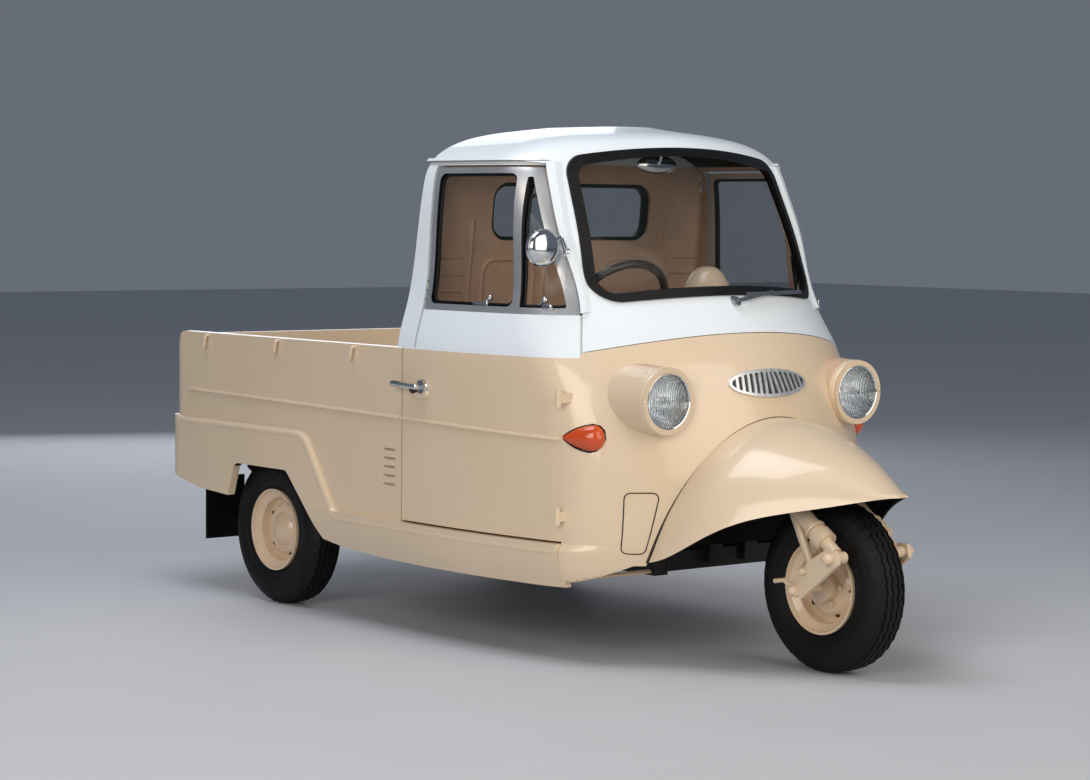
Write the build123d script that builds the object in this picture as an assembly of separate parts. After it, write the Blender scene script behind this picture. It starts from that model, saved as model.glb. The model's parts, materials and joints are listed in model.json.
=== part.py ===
from build123d import *
import functools
import math
import os

# A small closed-cab three-wheeled light truck: one steered front wheel, two rear wheels,
# a two-tone cab with hinged doors, and a low drop-side load bed.
# Millimetres. X runs forward, Y to the vehicle's left, Z up. All places below are measured
# from the ground under the middle of the rear axle; export() moves them to the final origin,
# the middle of the footprint.

# ---------------------------------------------------------------- driving dimensions
WHEELBASE = 1997
ORIGIN_X = 847                  # footprint middle, forward of the rear axle
HALF_WIDTH = 630                # flat body side
BAND = 14                       # how far fenders and sills stand out of the body side
X_REAR = -552                   # rear face of the bed
X_CAB_REAR = 765                # cab back wall and front of the bed
X_TAPER = 880                   # where the flat side starts to curve inwards
X_DOOR_FRONT = 1487             # shut line between door and nose
X_DOOR_REAR = 795
Z_BELT = 875                    # top of the cream body side
Z_DOOR_SILL = 356
Z_SKIRT = 993                   # top of the door's sheet metal, foot of its window
Z_RAIL = 1434                   # drip rail, where roof and sides meet
Z_BED_FLOOR = 590
GAP = 6                         # shut gap round doors and tailgate

PANEL = 26                      # cab wall thickness, outer skin to trim
DOOR_WALL = 42
BED_WALL = 42
GUTTER = 11                     # reach of the drip rail
SKIN = 12                       # single fender and sill skin
RUBBER_WEB = 18                 # how deep the screen rubber reaches into its opening

TYRE_R = 243
TYRE_HALF = 65
RIM_R = 131
REAR_TRACK_HALF = 515
REAR_CORNER_R = 75

STEER_RAKE = 15                 # degrees the steering axis leans back
STEER_FOOT = (2001, 0, 243)     # where the steering axis passes the front axle

# Cab plan sections: height; back and front; half width; radii of the three tangent arcs that
# close the nose; how far the surface there leans towards facing up, in degrees.
CAB_SECTIONS = (
    # z,  x_rear, x_front, half_width, r_front, r_corner, r_side, tilt
    (222, 765, 1738, 598, 740, 215, 3450, 0),
    (300, 765, 1772, 627, 765, 240, 3480, 0),
    (420, 765, 1782, 630, 770, 244, 3480, 0),
    (640, 765, 1772, 630, 760, 244, 3450, 0),
    (800, 765, 1728, 630, 750, 242, 3400, 0),
    (890, 765, 1682, 626, 745, 242, 3300, 5),
    (1010, 768, 1602, 595, 730, 235, 3200, 5),
    (1200, 790, 1500, 577, 840, 200, 3200, 5),
    (1363, 808, 1412, 566, 925, 165, 3200, 10),
    (1400, 812, 1392, 559, 940, 160, 3200, 20),
    (1435, 817, 1371, 542, 950, 155, 3100, 38),
    (1480, 824, 1341, 480, 820, 150, 2900, 66),
    (1523, 832, 1262, 313, 420, 125, 1900, 79),
    (1546, 836, 1136, 110, 145, 60, 1200, 86),
)

# Front fender cross sections: x; half width and height of the lip; height of the crown.
FENDER_SECTIONS = (
    # x,   half_width, z_lip, z_crown
    (1640, 403, 296, 705),
    (1758, 391, 335, 704),
    (1840, 355, 387, 699),
    (1920, 304, 431, 677),
    (2000, 243, 458, 646),
    (2080, 173, 477, 613),
    (2160, 107, 496, 568),
    (2215, 62, 509, 538),
    (2262, 20, 516, 524),
)
ARCH_FOOT = (401, 301, 702)     # nose opening: half width and height of its foot, its crown
ARCH_FULLNESS = 1.035           # how much wider the arch's full ellipse is than its foot
FENDER_SKIN = 5

# Windscreen, seen from the front: half widths and heights of the opening's corners.
SCREEN_FOOT = (432, 1036, 1064)      # half width, z at the corner, z in the middle
SCREEN_HEAD = (396, 1432, 1467)
REAR_WINDOW = (-318, 318, 1198, 1376)  # y_low, y_high, z_low, z_high
SEAM_TOP = 942                  # nose seam between the two colours, at the middle
SEAM_R = 2390

HEADLAMP = (375, 760)           # half spacing and height
HEADLAMP_X = (1560, 1700)       # root and rim of the lamp pod
HEADLAMP_R = (103, 95, 78)      # pod root, pod rim, lens
GRILLE = (300, 80, 802)         # width, height, height of its middle
SLATS = 13
SLAT_LEAN = 9                   # degrees, towards the middle at the top
TOW_EYE_R = 11
DASH_REACH = 430                # the opening door's front edge swings past its ends
HOOK_X = (-310, 115, 541)
LOUVRE_X = (698, 758)
LOUVRE_Z = (561, 534, 508, 481, 455)
WHEEL_CENTRE = Vector(1325, -258, 988)
WHEEL_AXIS = Vector(0.82, 0, -0.572)     # down the steering column, away from the driver
DOOR_HINGE_Z = (764, 429)
DOOR_HINGE_X = 1492
DOOR_HINGE_Y = 594


# ---------------------------------------------------------------- shape helpers
def block(x0, x1, y0, y1, z0, z1):
    centre = Pos((x0 + x1) / 2, (y0 + y1) / 2, (z0 + z1) / 2)
    return centre * Box(x1 - x0, y1 - y0, z1 - z0)


def prism_y(outline, y_low, y_high):
    """An outline drawn in X and Z, run from y_low to y_high."""
    plane = Plane(origin=(0, y_high, 0), x_dir=(1, 0, 0), z_dir=(0, -1, 0))
    return extrude(plane * outline, amount=y_high - y_low, dir=(0, -1, 0))


def prism_x(outline, x_low, x_high):
    """An outline drawn in Y and Z, run from x_low to x_high."""
    plane = Plane(origin=(x_low, 0, 0), x_dir=(0, 1, 0), z_dir=(1, 0, 0))
    return extrude(plane * outline, amount=x_high - x_low, dir=(1, 0, 0))


def prism_z(outline, z_low, z_high):
    """An outline drawn in X and Y, run from z_low to z_high."""
    return Pos(0, 0, z_low) * extrude(outline, amount=z_high - z_low, dir=(0, 0, 1))


def rod(start, end, radius):
    start, end = Vector(*start), Vector(*end)
    run = end - start
    place = Plane(origin=start, z_dir=run)
    return place * Cylinder(radius, run.length, align=(Align.CENTER, Align.CENTER, Align.MIN))


def polygon(*points, radius=0):
    shape = Polygon(*points, align=None)
    return fillet(shape.vertices(), radius) if radius else shape


def rounded(width, height, radius):
    return RectangleRounded(width, height, radius)


def mirrored(shape):
    return shape.mirror(Plane.XZ)


def both_sides(shape):
    return Compound(children=[*shape.solids(), *mirrored(shape).solids()])


def revolve_y(profile, x, y, z):
    """A half profile in (radius, y) turned about an axis along Y through (x, z)."""
    sketch = Polygon(*profile, align=None)
    ring = revolve(Plane.XY * sketch, Axis.Y, 360)
    return Pos(x, y, z) * ring


# ---------------------------------------------------------------- body sections
def nose_arcs(x_front, half_width, r_front, r_corner, r_side):
    """Joints and midpoints of the three tangent arcs that close the nose on the left."""
    front = Vector(x_front - r_front, 0)
    side = Vector(X_TAPER, half_width - r_side)
    reach_front, reach_side = r_front - r_corner, r_side - r_corner
    span = (side - front).length
    along = (reach_front**2 - reach_side**2 + span**2) / (2 * span)
    off = math.sqrt(reach_front**2 - along**2)
    unit = (side - front) / span
    left, right = (front + unit * along + Vector(-unit.Y, unit.X) * s * off for s in (1, -1))
    corner = max(left, right, key=lambda centre: centre.X + centre.Y)
    to_front = front + (corner - front).normalized() * r_front
    to_side = side + (corner - side).normalized() * r_side
    mid_corner = corner + ((to_front + to_side) / 2 - corner).normalized() * r_corner
    chord = (to_side + Vector(X_TAPER, half_width)) / 2
    mid_side = side + (chord - side).normalized() * r_side
    return to_front, mid_corner, to_side, mid_side


def plan_section(row, inset):
    """One closed plan outline of the cab; inset draws the parallel curve inside it."""
    z, x_rear, x_front, half_width, r_front, r_corner, r_side, tilt = row
    z -= inset * math.sin(math.radians(tilt))
    inset *= math.cos(math.radians(tilt))
    x_rear, x_front, half_width = x_rear + min(inset, PANEL), x_front - inset, half_width - inset
    radii = (r_front - inset, r_corner - inset, r_side - inset)
    a, ab, b, bc = nose_arcs(x_front, half_width, *radii)
    c, d = Vector(X_TAPER, half_width), Vector(x_rear, half_width)

    def up(p, side=1):
        return (p.X, side * p.Y, z)

    def arc(p, q, s, side):
        return Edge.make_three_point_arc(up(p, side), up(q, side), up(s, side))

    edges = [Edge.make_three_point_arc(up(a, -1), (x_front, 0, z), up(a))]
    edges += [arc(a, ab, b, 1), arc(b, bc, c, 1), Edge.make_line(up(c), up(d))]
    edges += [Edge.make_line(up(d), up(d, -1)), Edge.make_line(up(d, -1), up(c, -1))]
    edges += [arc(c, bc, b, -1), arc(b, ab, a, -1)]
    return Wire(edges)


def section_loft(rows, inset):
    """A smooth loft through the given sections; an inset form starts lower, to open its foot."""
    first = rows[0]
    rows = ((first[0] - (20 if inset > 0 else 0),) + first[1:],) + rows[1:]
    return Solid.make_loft([plan_section(row, inset) for row in rows], False)


@functools.lru_cache
def cab_form(inset):
    """The closed form of the cab's walls, run on a little past the drip rail."""
    return section_loft(tuple(row for row in CAB_SECTIONS if row[0] <= 1480), inset)


@functools.lru_cache
def roof_form(inset):
    """The closed form of the crowned roof, starting a little below the drip rail."""
    return section_loft(tuple(row for row in CAB_SECTIONS if row[0] >= 1400), inset)


def cab_wall(region, out=0, depth=PANEL):
    """The part of the cab's wall inside a region, from out to depth below the surface."""
    return (cab_form(out) & region) - cab_form(depth)


# ---------------------------------------------------------------- cab openings
def door_outline(grow=0):
    """The door seen from the side; grow widens it evenly for the aperture."""
    g = grow
    return polygon(
        (X_DOOR_REAR - g, Z_DOOR_SILL - g), (X_DOOR_FRONT + g, Z_DOOR_SILL - g),
        (X_DOOR_FRONT + g, Z_BELT), (1434 + g, 1000), (1262 + g, 1416 + g),
        (868 - 1.8 * g, 1416 + g), (857 - 1.8 * g, Z_BELT + 4), (X_DOOR_REAR - g, Z_BELT + 4),
    )


def above_seam(z_shift=0):
    """Everything over the joint between nose panel and cowl, which arches over the nose."""
    z_mid = SEAM_TOP + z_shift
    side = 700
    z_side = z_mid - (SEAM_R - math.sqrt(SEAM_R**2 - side**2))
    arch = ThreePointArc((-side, z_side), (0, z_mid), (side, z_side))
    top = Polyline((side, z_side), (side, 1700), (-side, 1700), (-side, z_side))
    nose = prism_x(make_face([arch, top]), X_DOOR_FRONT, 1900)
    sides = block(700, X_DOOR_FRONT, -700, 700, Z_BELT + z_shift, 1700)
    return nose + sides


def screen_outline(grow=0):
    """The windscreen opening seen from the front; grow widens it for the rubber."""
    foot_y, foot_z, foot_mid = SCREEN_FOOT
    head_y, head_z, head_mid = SCREEN_HEAD
    foot_y, head_y = foot_y + grow, head_y + grow
    foot_z, foot_mid, head_z, head_mid = foot_z - grow, foot_mid - grow, head_z + grow, head_mid + grow
    edges = [
        ThreePointArc((-foot_y, foot_z), (0, foot_mid), (foot_y, foot_z)),
        Line((foot_y, foot_z), (head_y, head_z)),
        ThreePointArc((head_y, head_z), (0, head_mid), (-head_y, head_z)),
        Line((-head_y, head_z), (-foot_y, foot_z)),
    ]
    face = make_face(edges)
    return fillet(face.vertices(), 58 + grow)


def rear_window_outline(grow=0):
    y0, y1, z0, z1 = REAR_WINDOW
    shape = rounded(y1 - y0 + 2 * grow, z1 - z0 + 2 * grow, 55 + grow)
    return Pos((y0 + y1) / 2, (z0 + z1) / 2) * shape


def arch_ellipse(half, z_foot, z_crown):
    """Middle height, radii and foot angle of an ellipse that arches from foot to crown."""
    reach = half * ARCH_FULLNESS
    foot_angle = math.degrees(math.acos(1 / ARCH_FULLNESS))
    rise = (z_crown - z_foot) / (1 - math.sin(math.radians(foot_angle)))
    return z_crown - rise, reach, rise, foot_angle


def wheel_arch_outline(grow=0):
    """The front fender's arch on the nose, with the open space below it."""
    half, z_foot, z_crown = ARCH_FOOT[0] + grow, ARCH_FOOT[1], ARCH_FOOT[2] + grow
    middle, reach, rise, angle = arch_ellipse(half, z_foot, z_crown)
    arch = EllipticalCenterArc((0, middle), reach, rise, angle, arc_size=180 - 2 * angle)
    foot = Polyline((half, z_foot), (half + 8, 150), (-half - 8, 150), (-half, z_foot))
    return make_face([arch, foot])


# ---------------------------------------------------------------- cab panels
def nose_panel():
    """Cream lower nose with the lamp pods standing out of it."""
    wall = cab_wall(block(X_DOOR_FRONT, 1900, -700, 700, 222, 1100))
    wall -= above_seam()
    spread, height = HEADLAMP
    root, rim, lens = HEADLAMP_R
    x_root, x_rim = HEADLAMP_X
    cone = Pos((x_root + x_rim) / 2, spread, height) * Rot(0, 90, 0) * Cone(root, rim, x_rim - x_root)
    cone += Pos(x_rim + 7, spread, height) * Rot(0, 90, 0) * Cylinder(rim, 16)
    bore = Pos(1660, spread, height) * Rot(0, 90, 0) * Cylinder(lens + 2, 240)
    pod = cone - cab_form(PANEL)
    wall += pod + mirrored(pod)
    wall -= bore
    wall -= mirrored(bore)
    wall -= prism_x(wheel_arch_outline(), 1500, 1900)
    foot = polygon((-700, 200), (-560, 232), (-432, 292), (432, 292), (560, 232), (700, 200),
                   (700, 100), (-700, 100))
    return wall - prism_x(foot, 1450, 1900)


@functools.lru_cache
def cab_shell():
    """White cowl, screen pillars, back pillars and back wall, from the belt to the roof."""
    wall = cab_wall(above_seam(2) & block(700, 1900, -700, 700, 800, Z_RAIL + 1))
    wall -= prism_y(door_outline(GAP), -700, 700)
    wall += pillar_rail()
    wall -= prism_x(screen_outline(), 1150, 1900)
    return wall - prism_x(rear_window_outline(), 700, 900)


def pillar_rail():
    """Rain rail that runs down each screen pillar in front of the door."""
    strip = polygon((1222, 1434), (1268, 1427), (1446, 999), (1455, 1003), (1278, 1434))
    return cab_wall(prism_y(strip, -700, 700), -GUTTER, 10)


@functools.lru_cache
def roof():
    """Crowned roof panel with the rolled gutter along its edge."""
    crown = (roof_form(0) & block(700, 1900, -700, 700, Z_RAIL + 1, 1700)) - roof_form(PANEL)
    crown -= prism_x(screen_outline(), 1150, 1900)
    strip = polygon((790, Z_RAIL + 2), (1262, Z_RAIL + 2), (1244, Z_RAIL + 10), (790, Z_RAIL + 10))
    return crown + cab_wall(prism_y(strip, -700, 700), -GUTTER, 10)


def bulkhead():
    """Wall between cab and bed, up to the belt, between the two bed sides."""
    reach = HALF_WIDTH - SKIN - 1
    return block(X_CAB_REAR, X_DOOR_REAR - GAP, -reach, reach, 345, Z_BELT)


def floor_and_firewall():
    """Floor pan, seat box and the front wall that closes off the wheel well."""
    inside = cab_form(PANEL + 1)
    pan = inside & block(793, 1600, -560, 560, 326, 342)
    arch = prism_x(wheel_arch_outline(30), 1588, 1600) + prism_x(wheel_arch_outline(30), 1590, 1790)
    arch -= prism_x(wheel_arch_outline(22), 1600, 1800)
    arch &= block(1500, 1900, -700, 700, 326, 800)
    seat_box = block(793, 1150, -560, 560, 342, 600) - block(780, 1138, -548, 548, 300, 588)
    return pan + (inside & arch) + (inside & seat_box)


def front_screen(grow, out, depth):
    return cab_wall(prism_x(screen_outline(grow), 1150, 1900), out, depth)


def back_screen(grow, out, depth):
    return cab_wall(prism_x(rear_window_outline(grow), 700, 900), out, depth)


def screen_glass():
    return Compound(children=[front_screen(-1, 9, 14), back_screen(-1, 9, 14)])


def screen_rubber():
    """Black rubber round both fixed screens: a lip over the panel edge and a web in the gap."""
    rings = []
    for screen, outline, span in ((front_screen, screen_outline, (1150, 1900)),
                                  (back_screen, rear_window_outline, (700, 900))):
        ring = screen(14, -7, 0) + screen(0, -7, RUBBER_WEB)
        ring -= prism_x(outline(-12), *span)
        ring = ring - screen(-1, 9, 14) - cab_shell() - roof()
        rings.append(ring.solids().sort_by(SortBy.VOLUME)[-1])
    return Compound(children=rings)


def dashboard():
    """Shelf under the windscreen with the domed instrument housing on it."""
    inside = cab_form(DOOR_WALL + 8) & block(1300, 1700, -DASH_REACH, DASH_REACH, 850, 1150)
    shelf = inside & block(1370, 1700, -700, 700, 1000, 1016)
    front = inside & block(1370, 1384, -700, 700, 880, 1016)
    dome = Pos(1405, 45, 1016) * Cone(78, 26, 84, align=(Align.CENTER, Align.CENTER, Align.MIN))
    dome = fillet(dome.faces().sort_by(Axis.Z)[-1].edges(), 20)
    return (shelf + front + dome) - rod(WHEEL_CENTRE, WHEEL_CENTRE + WHEEL_AXIS * 200, 24)


def seat_cushion():
    base = block(860, 1180, -500, 500, 601, 700)
    return fillet(base.edges().filter_by(Axis.Y) + base.edges().filter_by(Axis.Z), 28)


def seat_back():
    lean = polygon((800, 704), (862, 704), (842, 1000), (800, 1000))
    pad = prism_y(lean, -480, 480)
    return fillet(pad.edges().filter_by(Axis.Y).sort_by(Axis.Z)[-2:], 16)


# ---------------------------------------------------------------- doors
def door_right():
    """Pressed door with its skirt above the belt, as deep as the door well."""
    side = prism_y(door_outline(), -700, -300) & block(700, 1500, -700, 0, 300, Z_SKIRT)
    return cab_wall(side, 0, DOOR_WALL)


def window_frame_right():
    """Aluminium window frame with its division post."""
    ring = door_outline() & Pos(1200, 1300) * Rectangle(1200, 2 * (1300 - Z_SKIRT))
    return cab_wall(prism_y(ring - window_panes(), -700, -300), 2, 24)


def window_panes():
    """Main pane and triangular quarter pane, seen from the side."""
    main = polygon((880, 1012), (1248, 1012), (1213, 1398), (887, 1398), radius=22)
    quarter = polygon((1277, 1012), (1404, 1012), (1250, 1388), (1239, 1388), radius=4)
    return main + quarter


def window_glass_right():
    return cab_wall(prism_y(window_panes(), -700, -300), 14, 19)


def door_handle_right():
    y = -HALF_WIDTH
    boss = Pos(900, y - 6, 764) * Rot(90, 0, 0) * Cylinder(20, 12)
    stem = Pos(898, y - 22, 764) * Rot(90, 0, 0) * Cylinder(8, 24)
    lever = rod((905, y - 34, 765), (790, y - 34, 769), 8)
    lever += Pos(790, y - 34, 769) * Sphere(8)
    lever += Pos(905, y - 34, 765) * Sphere(8)
    return boss + stem + lever


# ---------------------------------------------------------------- front fender and running gear
def fender_section(row, inset):
    x, half, z_lip, z_crown = row
    half, z_crown = half - inset, z_crown - inset
    middle, reach, rise, angle = arch_ellipse(half, z_lip, z_crown)
    plane = Plane(origin=(x, 0, middle), x_dir=(0, 1, 0), z_dir=(1, 0, 0))
    arch = (plane * EllipticalCenterArc((0, 0), reach, rise, angle, arc_size=180 - 2 * angle)).edge()
    corners = [(x, -half, z_lip), (x, half, z_lip)]
    if inset:
        z_foot = z_lip - 60
        corners[1:1] = [(x, -half, z_foot), (x, half, z_foot)]
    return Wire([arch] + [Edge.make_line(p, q) for p, q in zip(corners, corners[1:])])


def front_fender():
    outer = Solid.make_loft([fender_section(row, 0) for row in FENDER_SECTIONS], False)
    inner_rows = [(x - (8 if i else 0), h, l, c) for i, (x, h, l, c) in enumerate(FENDER_SECTIONS)]
    inner = Solid.make_loft([fender_section(row, FENDER_SKIN) for row in inner_rows], False)
    return (outer - inner) - cab_form(0)


def wheel_pair_tyre(x, y):
    """Cross-ply tyre: rounded shoulders, flat crown, beads on the rim."""
    r, w = TYRE_R, TYRE_HALF
    profile = [(RIM_R, -44), (RIM_R + 22, -56), (RIM_R + 55, -w), (r - 40, -w + 2), (r - 12, -48), (r, -26),
               (r, 26), (r - 12, 48), (r - 40, w - 2), (RIM_R + 55, w), (RIM_R + 22, 56), (RIM_R, 44),
               (RIM_R - 6, 44), (RIM_R - 6, -44)]
    return revolve_y(profile, x, y, TYRE_R)


def wheel_rim(x, y, side):
    """Pressed wheel: flanged rim well, dished disc and centre hole, face towards side."""
    r = RIM_R
    well = [(r + 2, -58), (r + 2, -48), (r - 10, -44), (r - 22, -30), (r - 22, 30), (r - 10, 44), (r + 2, 48),
            (r + 2, 58), (r - 4, 58), (r - 8, 48), (r - 27, 34), (r - 27, -34), (r - 8, -48), (r - 4, -58)]
    ring = revolve_y(well, x, y, TYRE_R)
    disc = [(28, 10), (70, 14), (86, 2), (r - 26, 0), (r - 26, 6), (88, 8), (74, 20), (28, 16)]
    plate = revolve_y([(a, side * b) for a, b in disc], x, y, TYRE_R)
    return ring + plate


# ---------------------------------------------------------------- bed and body sides
def bed_plan(out, depth, y_end=-548):
    """Plan of one bed side with its rounded rear corner; out swells it, depth is its wall."""
    outer = polygon((X_CAB_REAR + 24, y_end), (X_CAB_REAR + 24, -HALF_WIDTH - out),
                    (X_REAR - out, -HALF_WIDTH - out), (X_REAR - out, y_end))
    corner = outer.vertices().sort_by(Axis.X)[:2].sort_by(Axis.Y)[0]
    outer = fillet(corner, REAR_CORNER_R + out)
    inner = polygon((900, y_end + 1), (900, -HALF_WIDTH + depth),
                    (X_REAR + depth, -HALF_WIDTH + depth), (X_REAR + depth, y_end + 1))
    corner = inner.vertices().sort_by(Axis.X)[:2].sort_by(Axis.Y)[0]
    return outer - fillet(corner, REAR_CORNER_R - depth)


def side_elevation():
    """Bed side seen from the right: sloping tail, wheel opening and sill line."""
    tail = [(X_CAB_REAR + 24, Z_BELT), (-478, Z_BELT), (-552, 790), (-552, 600), (-580, 590), (-580, 402),
            (-348, 356), (-167, 346)]
    arch = [(-128, 456), (178, 456), (300, 335)]
    rest = [(X_CAB_REAR + 24, 335)]
    shape = Polygon(*tail, *arch, *rest, align=None)
    soft = [v for v in shape.vertices() if (round(v.X), round(v.Y)) in ((-478, 875), (-128, 456), (178, 456))]
    return fillet(soft, 34)


def fender_outline():
    """The raised band: rear fender crown, its run down behind the wheel, and the sill."""
    shape = polygon((-640, 590), (278, 590), (452, 345), (820, 345), (820, 150), (-640, 150))
    soft = [v for v in shape.vertices() if (round(v.X), round(v.Y)) in ((278, 590), (452, 345))]
    return fillet(soft, 60)


def fender_shoulder():
    """The raised band's solid reach, with its top edge sloped back to the body side."""
    wide = prism_y(fender_outline(), -HALF_WIDTH, -400)
    for step in range(4):
        y = -HALF_WIDTH - BAND * step / 4
        sunk = Pos(0, -BAND * (step + 1) / 4) * fender_outline()
        wide += prism_y(sunk, y - BAND / 4, y)
    return wide


def sill_form(inset):
    """The cab's lower sections run back to the wheel opening."""
    rows = tuple((row[0], 290) + row[2:] for row in CAB_SECTIONS if row[0] <= 420)
    return section_loft(rows, inset)


def side_panel_right():
    """Bed side, rear fender and sill in one pressing."""
    wall = prism_z(bed_plan(0, BED_WALL), Z_BED_FLOOR, Z_BELT)
    wall -= block(X_CAB_REAR - 1, 900, -HALF_WIDTH + SKIN, -500, 500, 900)
    skin = prism_z(bed_plan(0, SKIN), 335, Z_BED_FLOOR)
    band = prism_z(bed_plan(BAND, 0), 335, 595) & fender_shoulder()
    panel = (wall + skin + band) & prism_y(side_elevation(), -720, -300)
    for z in LOUVRE_Z:
        pocket = Polygon((-HALF_WIDTH - 2, z - 7), (-HALF_WIDTH - 2, z + 6), (-HALF_WIDTH + 9, z + 6), align=None)
        panel -= prism_x(pocket, *LOUVRE_X)
    for x in HOOK_X:
        panel += rod((x, -HALF_WIDTH + 4, 866), (x - 2, -HALF_WIDTH - 9, 862), 4)
        panel += rod((x - 2, -HALF_WIDTH - 9, 862), (x - 6, -HALF_WIDTH - 9, 834), 4)
    return panel + sill_right()


def sill_right():
    """Sill under the door: an outer face standing proud and a flat step behind it."""
    face = block(305, X_DOOR_FRONT - 1, -700, -300, 200, 350)
    face = (sill_form(-BAND) & face) - sill_form(SKIN)
    leg = polygon((300, 340), (368, 254), (470, 238), (700, 225), (1150, 218), (1500, 224), (1500, 100), (200, 100),
                  (200, 340))
    step = (sill_form(SKIN) & block(795, X_DOOR_FRONT - 1, -700, -565, 336, 350))
    return (face - prism_y(leg, -700, -300)) + step


def bed_floor():
    """Flat load floor on the cross bearers that rest on the frame rails."""
    reach = HALF_WIDTH - BED_WALL - 1
    floor = block(X_REAR + BED_WALL + 1, X_CAB_REAR - 1, -reach, reach, Z_BED_FLOOR - 16, Z_BED_FLOOR - 0.5)
    floor = fillet(floor.edges().filter_by(Axis.Z).sort_by(Axis.X)[:2], 36)
    reach = HALF_WIDTH - SKIN - 1
    for x in (-448, -150, 150, 420):
        floor += block(x - 20, x + 20, -reach, reach, 478, Z_BED_FLOOR - 15)
    return floor


def rear_valance():
    return block(X_REAR, X_REAR + 12, -547, 547, 402, 580)


def tailgate():
    """Drop gate with a pressed panel in its outer face and a hinge tube along its foot."""
    gate = block(X_REAR, X_REAR + 26, -541, 541, Z_BED_FLOOR + 8, 862)
    gate += rod((X_REAR + 7, -520, Z_BED_FLOOR + 6), (X_REAR + 7, 520, Z_BED_FLOOR + 6), 5)
    panel = block(X_REAR - 1, X_REAR + 6, -470, 470, 640, 812)
    return gate - panel


def tail_lamps():
    lamp = Pos(X_REAR - 8, -455, 500) * Rot(0, 90, 0) * Cylinder(40, 16)
    lamp = fillet(lamp.edges().sort_by(Axis.X)[:1], 6)
    return both_sides(lamp)


def mud_flaps():
    return both_sides(block(-372, -366, -602, -452, 178, 388))


# ---------------------------------------------------------------- chassis and drive
def beam(points, y, width, height):
    """A box rail through points given as (x, z), centred on y."""
    upper = [(x, z + height / 2) for x, z in points]
    lower = [(x, z - height / 2) for x, z in reversed(points)]
    return prism_y(Polygon(*upper, *lower, align=None), y - width / 2, y + width / 2)


def chassis_frame():
    """Two rails that kick up over the axle, their cross members, the neck and steering head."""
    path = [(-520, 439.5), (450, 439.5), (640, 282), (1560, 282)]
    frame = beam(path, -260, 50, 76) + beam(path, 260, 50, 76)
    for x, z in ((-480, 440), (180, 440), (680, 282), (1000, 282), (1540, 282)):
        frame += block(x - 22, x + 22, -240, 240, z - 28, z + 28)
    for y in (-70, 70):
        frame += block(1540, 1586, y - 25, y + 25, 270, 325)
    for x in (-402, 402):
        for side in (-1, 1):
            arm = block(x - 24, x + 24, 280, 425, 426, 460)
            frame += arm if side > 0 else mirrored(arm)
    eye_plate = block(-538, -458, -28, 28, 398, 410) + block(-502, -458, -28, 28, 408, 414)
    return frame + (eye_plate - rod((-520, 0, 390), (-520, 0, 420), TOW_EYE_R))


def steering_head():
    """Neck that reaches over the front wheel to the sloping steering head."""
    neck = beam([(1601, 640), (1880, 612)], 0, 90, 60)
    foot = block(1601, 1612, -110, 110, 560, 690)
    head = rod(steer_point(575), steer_point(660), 34)
    return (neck + foot + head) - rod(steer_point(555), steer_point(690), 22.06)


def steer_point(z):
    """The point of the steering axis at a height."""
    x, y, z_foot = STEER_FOOT
    return (x - (z - z_foot) * math.tan(math.radians(STEER_RAKE)), y, z)


def rear_axle():
    """Axle tube, differential, propeller shaft and brake back plates."""
    axle = rod((0, -452, TYRE_R), (0, 452, TYRE_R), 30) + Pos(0, 0, TYRE_R) * Sphere(86)
    axle += rod((40, 0, TYRE_R), (480, 0, 330), 22)
    for side in (-1, 1):
        axle += Pos(0, side * 448, TYRE_R) * Rot(90, 0, 0) * Cylinder(112, 8)
    return axle


def leaf_springs():
    """Three-leaf springs that hang from the rails by their eyes."""
    stack = None
    for count, half in ((0, 400), (1, 270), (2, 150)):
        sag = half * half / 1600
        z = 318 - 9 * count
        outer = ThreePointArc((-half, z + sag), (0, z), (half, z + sag))
        inner = ThreePointArc((half, z + sag - 10), (0, z - 10), (-half, z + sag - 10))
        ends = [Line((half, z + sag), (half, z + sag - 10)), Line((-half, z + sag - 10), (-half, z + sag))]
        leaf = prism_y(make_face([outer, inner, *ends]), -420, -370)
        stack = leaf if stack is None else stack + leaf
    block_on_axle = block(-40, 40, -418, -372, TYRE_R + 20, 300) - rod((0, -500, TYRE_R), (0, 0, TYRE_R), 30)
    return both_sides(stack + block_on_axle)


def engine_block():
    return block(500, 750, -180, 180, 332, 560)


def silencer():
    can = rod((330, 340, 230), (640, 340, 230), 48)
    return can + rod((335, 340, 230), (150, 334, 176), 16)


# ---------------------------------------------------------------- front fork and wheel
FORK_Y = 112                    # legs and struts, each side of the wheel
LINK_Y = 141                    # links, outside the struts
PIVOT = (2030, 300)
STRUT_EYE = (2130, 345)
STRUT_TOP = (1872, 531)
STRUT_STAGES = (17.2, 62, 96, 300)   # eye, foot of the collar, foot and top of the upper tube


def along_strut(distance, y):
    """A point on a strut's axis, measured up from its lower eye."""
    bottom, top = Vector(STRUT_EYE[0], y, STRUT_EYE[1]), Vector(STRUT_TOP[0], y, STRUT_TOP[1])
    return bottom + (top - bottom).normalized() * distance


def fork():
    """Stem, crown, two thin legs down to the link pivots and the struts' upper tubes."""
    stem = rod(steer_point(545), steer_point(652), 22)
    lean = math.radians(STEER_RAKE)
    level = Plane(origin=steer_point(550), x_dir=(math.cos(lean), 0, math.sin(lean)),
                  z_dir=(-math.sin(lean), 0, math.cos(lean)))
    frame = stem + level * Pos(-16, 0, 0) * Box(100, 276, 20)
    eye, collar, foot, top = STRUT_STAGES
    for y in (-FORK_Y, FORK_Y):
        frame += rod((1900, y, 548), (PIVOT[0], y, PIVOT[1]), 13)
        frame += rod((PIVOT[0], y - 14, PIVOT[1]), (PIVOT[0], y + 14, PIVOT[1]), 20)
        tube = rod(along_strut(foot, y), along_strut(top, y), 25)
        frame += tube - level * Pos(0, 0, 100) * Box(400, 600, 200)
    return frame


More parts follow.
